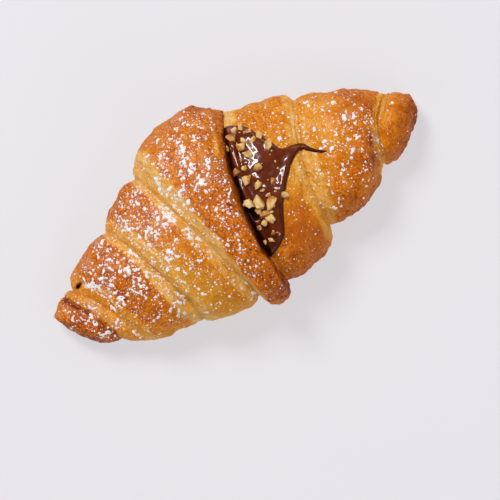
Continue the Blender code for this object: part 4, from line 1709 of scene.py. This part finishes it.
@dataclass(frozen=True)
class ChoppedNuts:
    """The chopped hazelnuts on the spread."""

    split: Split
    shift: np.ndarray
    pieces: tuple[Nut, ...] = (
        Nut(13.3, 23.9, 3.9, 2.4, -45, 0.75),
        Nut(15.6, 26.0, 2.4, 2.0, 20),
        Nut(18.2, 25.4, 2.8, 2.0, 50),
        Nut(20.3, 22.7, 2.6, 1.6, -20, 0.5),
        Nut(16.4, 20.4, 2.8, 1.7, -70),
        Nut(14.3, 18.8, 3.2, 2.7, 60, 0.4),
        Nut(19.7, 18.7, 2.6, 1.6, 10),
        Nut(22.4, 18.9, 3.2, 2.5, 50, 0.5),
        Nut(24.0, 13.8, 3.6, 2.4, 60, 0.3),
        Nut(15.1, 14.8, 3.1, 2.7, 80, 0.3),
        Nut(9.3, 21.2, 2.2, 1.4, 80, 0.6),
        Nut(10.9, 11.0, 2.4, 1.6, -10),
        Nut(7.4, 11.3, 2.6, 2.2, 0, 0.95),
        Nut(15.5, 8.1, 3.0, 2.6, -10, 0.6),
        Nut(9.0, 6.3, 3.1, 2.8, 30, 0.35),
        Nut(17.7, 0.4, 2.9, 2.1, 70, 0.9),
        Nut(12.1, 2.5, 3.0, 2.2, 10, 0.5),
        Nut(12.4, -0.3, 1.5, 1.1, 0),
        Nut(5.2, -1.9, 3.9, 2.8, -20, 0.25),
        Nut(8.8, -3.6, 4.2, 3.2, 80, 0.3),
        Nut(12.9, -6.2, 5.2, 2.7, 35, 0.5),
        Nut(18.4, -6.0, 3.6, 2.0, -35, 0.3),
        Nut(8.2, -8.9, 3.5, 2.4, -15, 0.8),
        Nut(6.9, -6.3, 2.8, 1.9, 80, 0.35),
        Nut(10.8, -9.3, 1.6, 1.2, 0),
        Nut(9.2, -11.7, 3.2, 2.7, 80, 0.3),
        Nut(6.3, -11.6, 2.5, 2.1, 60, 0.3),
        Nut(3.4, -12.3, 1.9, 1.6, 80, 0.7),
        Nut(7.3, -16.8, 1.7, 1.5, 0, 0.7),
        Nut(4.9, -18.9, 2.5, 1.5, -40, 0.3),
        Nut(2.5, -18.3, 1.7, 1.3, 70, 0.5),
        Nut(13.2, -3.1, 1.8, 1.4, 0, 0.4),
    )
    bigger: float = 1.55  # what worn corners take off is made up for
    sunk: float = 0.16  # the share of a piece's height that is in the spread
    height: float = 0.8  # a piece's height as a share of its width
    corners: int = 9  # corners that a piece is cut with
    worn: float = 0.07  # how far its edges are worn off
    rough: tuple[float, float] = (0.24, 0.13)  # how rough its faces are, coarsely and finely
    seed: int = 11
    crumbs: int = 26
    crumb_size: tuple[float, float] = (0.5, 1.1)
    crumbs_from: tuple[float, float] = (2.2, 1.0)  # how far from the widest turn and the split's edge

    def strewn(self) -> list[Nut]:
        """Small crumbs of nut, strewn on the spread.

        Returns:
            The crumbs.
        """
        draw = random.Random(self.seed)
        found: list[Nut] = []
        while len(found) < self.crumbs:
            x, y, size = draw.uniform(2.0, 26.0), draw.uniform(-22.0, 28.0), draw.uniform(*self.crumb_size)
            from_turn = x - self.split.roll.edge_of_widest(1.0, y)
            from_edge = float(self.split.inside(np.array([[x, y]]))[0])
            if from_turn > self.crumbs_from[0] and from_edge > self.crumbs_from[1]:
                found.append(Nut(x, y, size, 0.8 * size, draw.uniform(0, 180), draw.uniform(0.2, 0.8)))
        return found

    def hull(self, draw: random.Random) -> bmesh.types.BMesh:
        """The hull of corners drawn on a ball, with its edges worn and its faces divided finely.

        Args:
            draw: The piece's own random draws.

        Returns:
            The hull, of a ball that is 2 wide.
        """
        made = bmesh.new()
        for corner in range(self.corners):
            level = -1.0 + 2.0 * (corner + 0.5) / self.corners
            angle = corner * 2.4 + draw.uniform(-0.6, 0.6)
            reach = math.sqrt(1.0 - level * level) * draw.uniform(0.8, 1.12)
            x, y = reach * math.cos(angle), reach * math.sin(angle)
            made.verts.new((x, y, level * draw.uniform(0.85, 1.1)))
        hull = bmesh.ops.convex_hull(made, input=made.verts)
        loose = [item for item in hull["geom_interior"] if isinstance(item, bmesh.types.BMVert)]
        bmesh.ops.delete(made, geom=loose, context="VERTS")
        bmesh.ops.bevel(made, geom=made.edges[:], offset=self.worn, segments=1, profile=0.6, affect="EDGES")
        bmesh.ops.triangulate(made, faces=made.faces)
        bmesh.ops.subdivide_edges(made, edges=made.edges[:], cuts=2, use_grid_fill=True)
        bmesh.ops.triangulate(made, faces=made.faces)
        return made

    def chip(
        self, nut: Nut, number: int, ground: Ground
    ) -> tuple[list[list[float]], list[list[int]], list[float]]:
        """One piece: a worn hull, roughened, turned and laid into the spread.

        Args:
            nut: The piece's place and size.
            number: Which piece it is, for its own random shape.
            ground: What it lies on.

        Returns:
            Its points, its faces, and how roasted each point is.
        """
        draw = random.Random(self.seed * 1000 + number)
        made = self.hull(draw)
        outside = Vector((draw.uniform(-1, 1), draw.uniform(-1, 1), draw.uniform(0.0, 1.0))).normalized()
        turn = Matrix.Rotation(math.radians(nut.heading), 3, "Z")
        turn = turn @ Matrix.Rotation(math.radians(draw.uniform(-18, 18)), 3, "X")
        height = self.height * nut.wide
        base = ground.below(nut.x, nut.y)[0][2] + (0.5 - self.sunk) * height
        points, roasts = [], []
        for vertex in made.verts:
            rough = noise.noise(vertex.co * 2.6 + Vector((number * 7.1, 0.0, 0.0)))
            finer = noise.noise(vertex.co * 7.0 + Vector((number * 3.3, 5.0, 0.0)))
            co = vertex.co * (1.0 + self.rough[0] * rough + self.rough[1] * finer)
            skin = smooth_step(0.35, 0.8, float(vertex.co.normalized().dot(outside)) + 0.3 * rough)
            co = turn @ Vector((co.x * nut.long, co.y * nut.wide, co.z * height)) * self.bigger / 2.0
            points.append([nut.x + co.x, nut.y + co.y, base + co.z])
            roasts.append(nut.roast - 0.1 + 0.45 * float(skin) + 0.25 * rough)
        made.verts.index_update()
        faces = [[vertex.index for vertex in face.verts] for face in made.faces]
        made.free()
        return points, faces, roasts

    def build(self, ground: Ground) -> bpy.types.Object:
        """Builds all the pieces as one.

        Args:
            ground: What they lie on.

        Returns:
            The piece.
        """
        points, faces, roasts = [], [], []
        for number, nut in enumerate([*self.pieces, *self.strewn()]):
            chip, sides, roast = self.chip(nut, number, ground)
            faces += [[len(points) + i for i in face] for face in sides]
            points += chip
            roasts += roast
        places = (np.array(points) - self.shift) * MM
        readings = {"roast": np.array(roasts)}
        piece = new_piece("chopped_hazelnuts", places, faces, NutFinish().material(), readings)
        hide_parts("chocolate")
        return piece


@dataclass(frozen=True)
class IcingSugar:
    """The icing sugar that was dusted over the croissant, in lumps and in finer grains."""

    roll: Roll
    split: Split
    shift: np.ndarray
    seed: int = 5
    grid: float = 0.21  # how far apart the points of the drifts lie
    extent: tuple[float, float, float, float] = (-87.0, 86.0, -43.0, 47.0)  # left, right, near and far
    thickness: tuple[float, float] = (0.12, 0.5)  # at a drift's rim, and what is added in its middle
    lump_gap: float = 0.95  # how far apart lumps lie where the sugar is thickest
    lump_size: tuple[float, float, float] = (0.45, 0.34, 0.9)  # middle radius, spread and largest
    lump_share: float = 1.85  # how many of the lumps there are for the sugar's density
    rim_level: float = 0.62  # how high lumps must pile up before they show
    under: float = 0.25  # how far the drifts reach under the surface
    drift_share: float = 0.24  # what a whole drift adds to the density
    lowest: float = 4.0  # the lowest crust that sugar lies on
    specks: int = 30000  # how many places are tried for single grains
    speck_share: tuple[float, float] = (0.05, 1.8)  # the share of those kept, and what the density adds
    speck_size: tuple[float, float, float] = (0.17, 0.45, 0.5)  # middle radius, spread and largest
    drifts: tuple[Patch, ...] = (
        Patch(-33.4, 9.4, 7.4, 6.2, 30, 0.75),
        Patch(-28.4, 17.0, 4.0, 1.4, 119, 0.2),
        Patch(-65.0, 10.5, 3.4, 1.6, 120, 0.4),
        Patch(-61.0, -1.0, 4.0, 2.6, 100, 0.45),
        Patch(-15.0, 31.5, 3.2, 1.6, 60, 0.7),
        Patch(-7.0, 24.0, 4.0, 3.0, 120, 0.4),
        Patch(-67.8, 5.8, 3.6, 1.5, 134, 0.75),
        Patch(-21.1, 19.5, 2.4, 1.8, 108, 0.7),
        Patch(-49.1, -4.4, 3.1, 1.5, 103, 0.65),
        Patch(-26.0, -8.5, 2.7, 2.3, 98, 0.4),
        Patch(-10.6, 21.4, 2.7, 2.0, 121, 0.9),
        Patch(-23.9, 9.0, 2.6, 1.1, 63, 0.45),
        Patch(-22.8, -0.2, 2.8, 1.3, 154, 0.8),
        Patch(-7.7, 14.8, 3.1, 1.4, 45, 0.9),
        Patch(-45.6, -13.7, 2.8, 1.1, 33, 0.8),
        Patch(-48.0, 1.3, 2.2, 1.1, 31, 0.55),
        Patch(-6.3, 30.6, 2.8, 1.3, 117, 0.8),
        Patch(-10.6, 31.0, 2.6, 1.1, 115, 0.8),
        Patch(-12.0, 38.1, 2.7, 0.9, 60, 0.8),
        Patch(-2.7, -2.6, 2.1, 1.0, 84, 0.9),
        Patch(-6.7, -4.4, 1.8, 1.5, 112, 0.8),
        Patch(-10.2, -19.4, 1.6, 1.1, 101, 0.9),
        Patch(57.8, 6.6, 1.8, 1.2, 5, 0.9),
        Patch(44.5, -9.1, 1.3, 1.0, 47, 0.9),
        Patch(32.3, 16.0, 1.3, 1.0, 150, 0.8),
    )

    def density(self, places: np.ndarray) -> np.ndarray:
        """How much sugar there is.

        Args:
            places: The places, seen from above.

        Returns:
            The share that it covers at each.
        """
        flat = np.column_stack([places, np.zeros(len(places))])
        x, y = places.T
        base = np.zeros(len(places))
        for index, turn in enumerate(self.roll.turns):
            start, end = self.roll.creases[index], self.roll.creases[index + 1]
            far, near = max(start.far, end.far) + turn.far.size, min(start.near, end.near) - turn.near.size
            across = np.clip((y - (far + near) / 2.0) / ((far - near) / 2.0), -1.0, 1.0)
            here = (start.at(across) <= x) & (x < end.at(across))
            base = np.where(here, over_sides(turn.sugar, across), base)
        drift = sum(patch.at(flat) for patch in self.drifts)
        cluster = np.clip(0.9 + 0.9 * ripple(flat, 5.0, 41), 0.3, 1.8)
        return base * cluster + self.drift_share * np.minimum(drift, 1.2)

    def bare(self, places: np.ndarray) -> np.ndarray:
        """Whether places seen from above are in the split, which stays free of sugar."""
        return self.split.inside(places) > -0.3

    def mounds(self, x: np.ndarray, y: np.ndarray) -> np.ndarray:
        """Piles up many soft lumps.

        Args:
            x: The grid's places along the roll.
            y: The grid's places across it.

        Returns:
            The height at each.
        """
        draw = np.random.default_rng(self.seed + 1)
        left, right, near, far = self.extent
        even = np.meshgrid(np.arange(left, right, self.lump_gap), np.arange(near, far, self.lump_gap))
        spots = np.column_stack([axis.ravel() for axis in even])
        spots += self.lump_gap * draw.uniform(-0.6, 0.6, spots.shape)
        density = self.density(spots)
        middle, spread, largest = self.lump_size
        sizes = draw.lognormal(math.log(middle), spread, len(spots)) * (0.9 + 0.3 * density)
        sizes = np.minimum(sizes, largest)
        kept = draw.random(len(spots)) < self.lump_share * density
        flat = np.stack([x, y, np.zeros_like(x)], axis=-1)
        ragged = 0.6 * ripple(flat, 0.8, 42, 2) + 0.25 * ripple(flat, 2.2, 43)
        pile = np.zeros_like(x)
        for (u, v), size in zip(spots[kept], sizes[kept]):
            i, j = int((v - near) / self.grid), int((u - left) / self.grid)
            reach = int(2.2 * size / self.grid) + 1
            window = np.s_[max(0, i - reach) : i + reach + 1, max(0, j - reach) : j + reach + 1]
            away = (x[window] - u) ** 2 + (y[window] - v) ** 2
            pile[window] += np.exp(-away / size**2) * (0.9 + 0.7 * size)
        return (1.0 - np.exp(-1.4 * pile)) * (1.0 + ragged)

    def drifts_piece(self, ground: Ground) -> bpy.types.Object:
        """Builds the lumps and drifts: a crumbling layer that is closed below, where it is out of sight.

        Args:
            ground: What they lie on.

        Returns:
            The piece.
        """
        left, right, near, far = self.extent
        across, along = np.arange(near, far, self.grid), np.arange(left, right, self.grid)
        x, y = np.meshgrid(along, across)
        places = np.column_stack([x.ravel(), y.ravel()])
        amount = self.mounds(x, y).ravel() - self.rim_level
        wanted = np.flatnonzero(amount > -0.5)
        wanted = wanted[~self.bare(places[wanted])]
        height, lie = np.full(len(places), np.nan), np.zeros(len(places))
        for i in wanted:
            spot = ground.below(*places[i])
            if spot is not None:
                height[i], lie[i] = spot[0][2], spot[1][2]
        amount -= 1.4 * (1.0 - smooth_step(0.3, 0.6, lie))
        amount[np.isnan(height) | (height < self.lowest)] = -1.0
        return self.layer("sugar_drifts", x.shape, places, height, amount)

    def layer(
        self, name: str, shape: tuple[int, int], places: np.ndarray, height: np.ndarray, amount: np.ndarray
    ) -> bpy.types.Object:
        """Makes a layer where an amount on a grid is above 0.

        Args:
            name: The piece's name.
            shape: The grid's rows and columns.
            places: The grid's points, seen from above.
            height: The ground's height under each.
            amount: The amount at each, less than 0 where the layer ends.

        Returns:
            The piece.
        """
        quads = self.squares(shape, height, amount)
        used = np.unique(quads)
        new = np.full(len(amount), -1)
        new[used] = np.arange(len(used))

        slope_y, slope_x = np.gradient(amount.reshape(shape), self.grid)
        slope = np.column_stack([slope_x.ravel(), slope_y.ravel()])[used]
        value = amount[used]
        rim = value <= 0.0
        moved = places[used]
        moved[rim] += self.steps_to_rim(value, slope)[rim]
        flat = np.column_stack([moved, np.zeros(len(moved))])
        low, more = self.thickness
        thick = low + more * (1.0 - np.exp(-np.maximum(value, 0.0) / 0.5))
        thick = thick * (1.0 + 0.5 * ripple(flat, 0.9, 44)) + 0.1 * ripple(flat, 0.5, 45)
        top = height[used] + np.where(rim, -0.03, np.maximum(thick, 0.05))
        under = height[used] - self.under

        count = len(used)
        inner = np.flatnonzero(~rim)
        below = np.arange(count)
        below[inner] = count + np.arange(len(inner))
        bottom = np.column_stack([moved[inner], under[inner]])
        points = np.concatenate([np.column_stack([moved, top]), bottom])
        upper = new[quads]
        faces = np.concatenate([upper, below[upper][:, ::-1]])
        return self.piece(name, points, faces.tolist())

    def squares(self, shape: tuple[int, int], height: np.ndarray, amount: np.ndarray) -> np.ndarray:
        """The grid's squares that a layer needs.

        Args:
            shape: The grid's rows and columns.
            height: The ground's height under each point, which is missing beside the ground.
            amount: The amount at each point, less than 0 where the layer ends.

        Returns:
            The numbers of each square's corners, anticlockwise.
        """
        columns = shape[1]
        known = ~np.isnan(height.reshape(shape))
        inside = (amount.reshape(shape) > 0.0) & known
        square = known[:-1, :-1] & known[1:, :-1] & known[:-1, 1:] & known[1:, 1:]
        held = inside[:-1, :-1] | inside[1:, :-1] | inside[:-1, 1:] | inside[1:, 1:]
        row, column = np.nonzero(square & held)
        corner = row * columns + column
        return np.column_stack([corner, corner + 1, corner + columns + 1, corner + columns])

    def steps_to_rim(self, value: np.ndarray, slope: np.ndarray) -> np.ndarray:
        """Steps from outside a layer onto its rim.

        Args:
            value: The amount at each point.
            slope: The slope of the amount there.

        Returns:
            The step of each point.
        """
        steep = np.maximum((slope**2).sum(axis=1), 1e-3)
        step = (-value / steep)[:, None] * slope
        far = np.linalg.norm(step, axis=1, keepdims=True)
        step *= np.minimum(1.0, 0.7 * self.grid / np.maximum(far, 1e-9))
        return step

    def piece(self, name: str, points: np.ndarray, faces: Sequence[Sequence[int]]) -> bpy.types.Object:
        """Makes a sugar piece from points in the form's millimetres, kept inside the solid's box."""
        places = kept_in_box((points - self.shift) * MM)
        return new_piece(name, places, faces, SugarFinish().material(), {})

    def grains_piece(self, ground: Ground) -> bpy.types.Object:
        """Builds the single grains, each a crumb of twenty faces that lies flat on what is under it.

        Args:
            ground: What they lie on.

        Returns:
            The piece.
        """
        draw = np.random.default_rng(self.seed)
        left, right, near, far = self.extent
        x, y = draw.uniform(left, right, self.specks), draw.uniform(near, far, self.specks)
        tried = np.column_stack([x, y])
        chance = draw.random(self.specks)
        always, added = self.speck_share
        tried = tried[chance < always + added * self.density(tried)]
        tried = tried[~self.bare(tried)]
        ball = bmesh.new()
        bmesh.ops.create_icosphere(ball, subdivisions=1, radius=1.0)
        ball.verts.index_update()
        shape = np.array([tuple(vertex.co) for vertex in ball.verts])
        sides = np.array([[vertex.index for vertex in face.verts] for face in ball.faces])
        ball.free()
        middle, spread, largest = self.speck_size
        points, faces = [], []
        for x, y in tried:
            size = min(float(draw.lognormal(math.log(middle), spread)), largest)
            crumb = shape * draw.uniform(0.75, 1.25, (len(shape), 1)) * size * (1.0, 0.85, 0.6)
            turn = draw.uniform(0.0, math.tau)
            spot = ground.below(x, y)
            if spot is None or spot[1][2] < 0.4 or spot[0][2] < self.lowest:
                continue
            lie = Vector((0.0, 0.0, 1.0)).rotation_difference(Vector(spot[1])).to_matrix()
            matrix = np.array(lie @ Matrix.Rotation(turn, 3, "Z"))
            faces.append(sides + len(points) * len(shape))
            points.append(crumb @ matrix.T + spot[0] + spot[1] * 0.3 * size)
        return self.piece("sugar_grains", np.concatenate(points), np.concatenate(faces).tolist())

    def build(self, ground: Ground) -> list[bpy.types.Object]:
        """Builds the drifts and the grains, each as one piece."""
        return [self.drifts_piece(ground), self.grains_piece(ground)]


@dataclass(frozen=True)
class Lamp:
    """A soft lamp that lights, or that is only mirrored in glossy things.

    It hangs at a heading from the picture's right side and at a height over the table, both in degrees. Its
    power is in watts, and its sides and its distance are in metres.
    """

    name: str
    heading: float
    height: float
    power: float
    sides: tuple[float, float] = (1.2, 1.2)
    mirrored: bool = False
    distance: float = 1.4

    def hang(self, turn: float) -> None:
        """Hangs it up.

        Args:
            turn: The heading of the picture's right side, in degrees.
        """
        data = bpy.data.lights.new(self.name, "AREA")
        data.shape = "RECTANGLE"
        data.size, data.size_y = self.sides
        data.energy = self.power
        lamp = bpy.data.objects.new(self.name, data)
        lamp.visible_glossy = self.mirrored
        lamp.visible_diffuse = not self.mirrored
        heading, height = math.radians(self.heading + turn), math.radians(self.height)
        level = math.cos(height)
        ahead = Vector((math.cos(heading) * level, math.sin(heading) * level, math.sin(height)))
        lamp.location = ahead * self.distance
        lamp.rotation_euler = ahead.to_track_quat("Z", "Y").to_euler()
        bpy.context.scene.collection.objects.link(lamp)


@dataclass(frozen=True)
class Studio:
    """A pale table, soft light from the far left, and a camera straight above."""

    shift: np.ndarray
    aim: tuple[float, float] = (-4.3, -17.75)  # the place in the middle of the picture
    distance: float = 1000.0
    seen: float = 206.25  # how wide the picture is on the table
    turn: float = -32.0  # the heading of the picture's right side, in degrees
    sensor: float = 36.0
    table_half: float = 1.6  # half a side of the table, in metres
    room: Colour = (0.96, 0.97, 1.0)
    room_light: float = 0.12
    lamps: tuple[Lamp, ...] = (
        Lamp("window", 127.0, 54.0, 15.8, (0.34, 0.46)),
        Lamp("window_panes", 127.0, 54.0, 30.0, (0.66, 0.72), mirrored=True),
        Lamp("fill", -50.0, 36.0, 6.6),
        Lamp("left_wall", 218.0, 28.0, 4.4),
        Lamp("right_wall", 38.0, 28.0, 4.4),
    )

    def camera(self) -> None:
        """Sets the camera up."""
        data = bpy.data.cameras.new("camera")
        data.sensor_width = self.sensor
        data.lens = self.sensor * self.distance / self.seen
        data.clip_end = 20.0
        camera = bpy.data.objects.new("camera", data)
        camera.rotation_euler = (0.0, 0.0, math.radians(self.turn))
        x, y = (self.aim[0] - self.shift[0]) * MM, (self.aim[1] - self.shift[1]) * MM
        camera.location = (x, y, self.distance * MM)
        bpy.context.scene.collection.objects.link(camera)
        bpy.context.scene.camera = camera

    def floor(self) -> None:
        """Lays the table."""
        mesh = bpy.data.meshes.new("table")
        half = self.table_half
        places = [(-half, -half, 0), (half, -half, 0), (half, half, 0), (-half, half, 0)]
        mesh.from_pydata(places, [], [(0, 1, 2, 3)])
        mesh.materials.append(FloorFinish().material())
        table = bpy.data.objects.new("table", mesh)
        bpy.context.scene.collection.objects.link(table)

    def build(self) -> None:
        """Sets everything up."""
        self.camera()
        self.floor()
        for lamp in self.lamps:
            lamp.hang(self.turn)
        world = bpy.data.worlds.new("room")
        world.use_nodes = True
        world.node_tree.nodes["Background"].inputs["Color"].default_value = (*self.room, 1.0)
        world.node_tree.nodes["Background"].inputs["Strength"].default_value = self.room_light
        bpy.context.scene.world = world
        bpy.context.scene.view_settings.view_transform = "Standard"


def corners(box: tuple[Vector, Vector]) -> list[list[float]]:
    """A box's lowest and highest corner as plain lists."""
    return [list(corner) for corner in box]


def main() -> None:
    """Builds the croissant's pieces and the studio round it."""
    logging.basicConfig(level=logging.INFO, format="%(name)s: %(message)s")
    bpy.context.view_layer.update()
    roll = Roll()
    shift = roll.shift()
    split = Split(roll)
    sugar = IcingSugar(roll, split, shift)
    crust = Crust(roll, split, sugar, shift)
    shells = crust.build()
    spread = Spread(split, shift).build(crust.dough())
    nuts = ChoppedNuts(split, shift).build(Ground.under([spread, *shells], shift))
    dusting = sugar.build(Ground.under([*shells, spread, nuts], shift))
    Studio(shift).build()
    for piece in (*shells, spread, nuts, *dusting):
        log.info("%s: %d points, %d faces", piece.name, len(piece.data.vertices), len(piece.data.polygons))


if __name__ == "__main__":
    main()
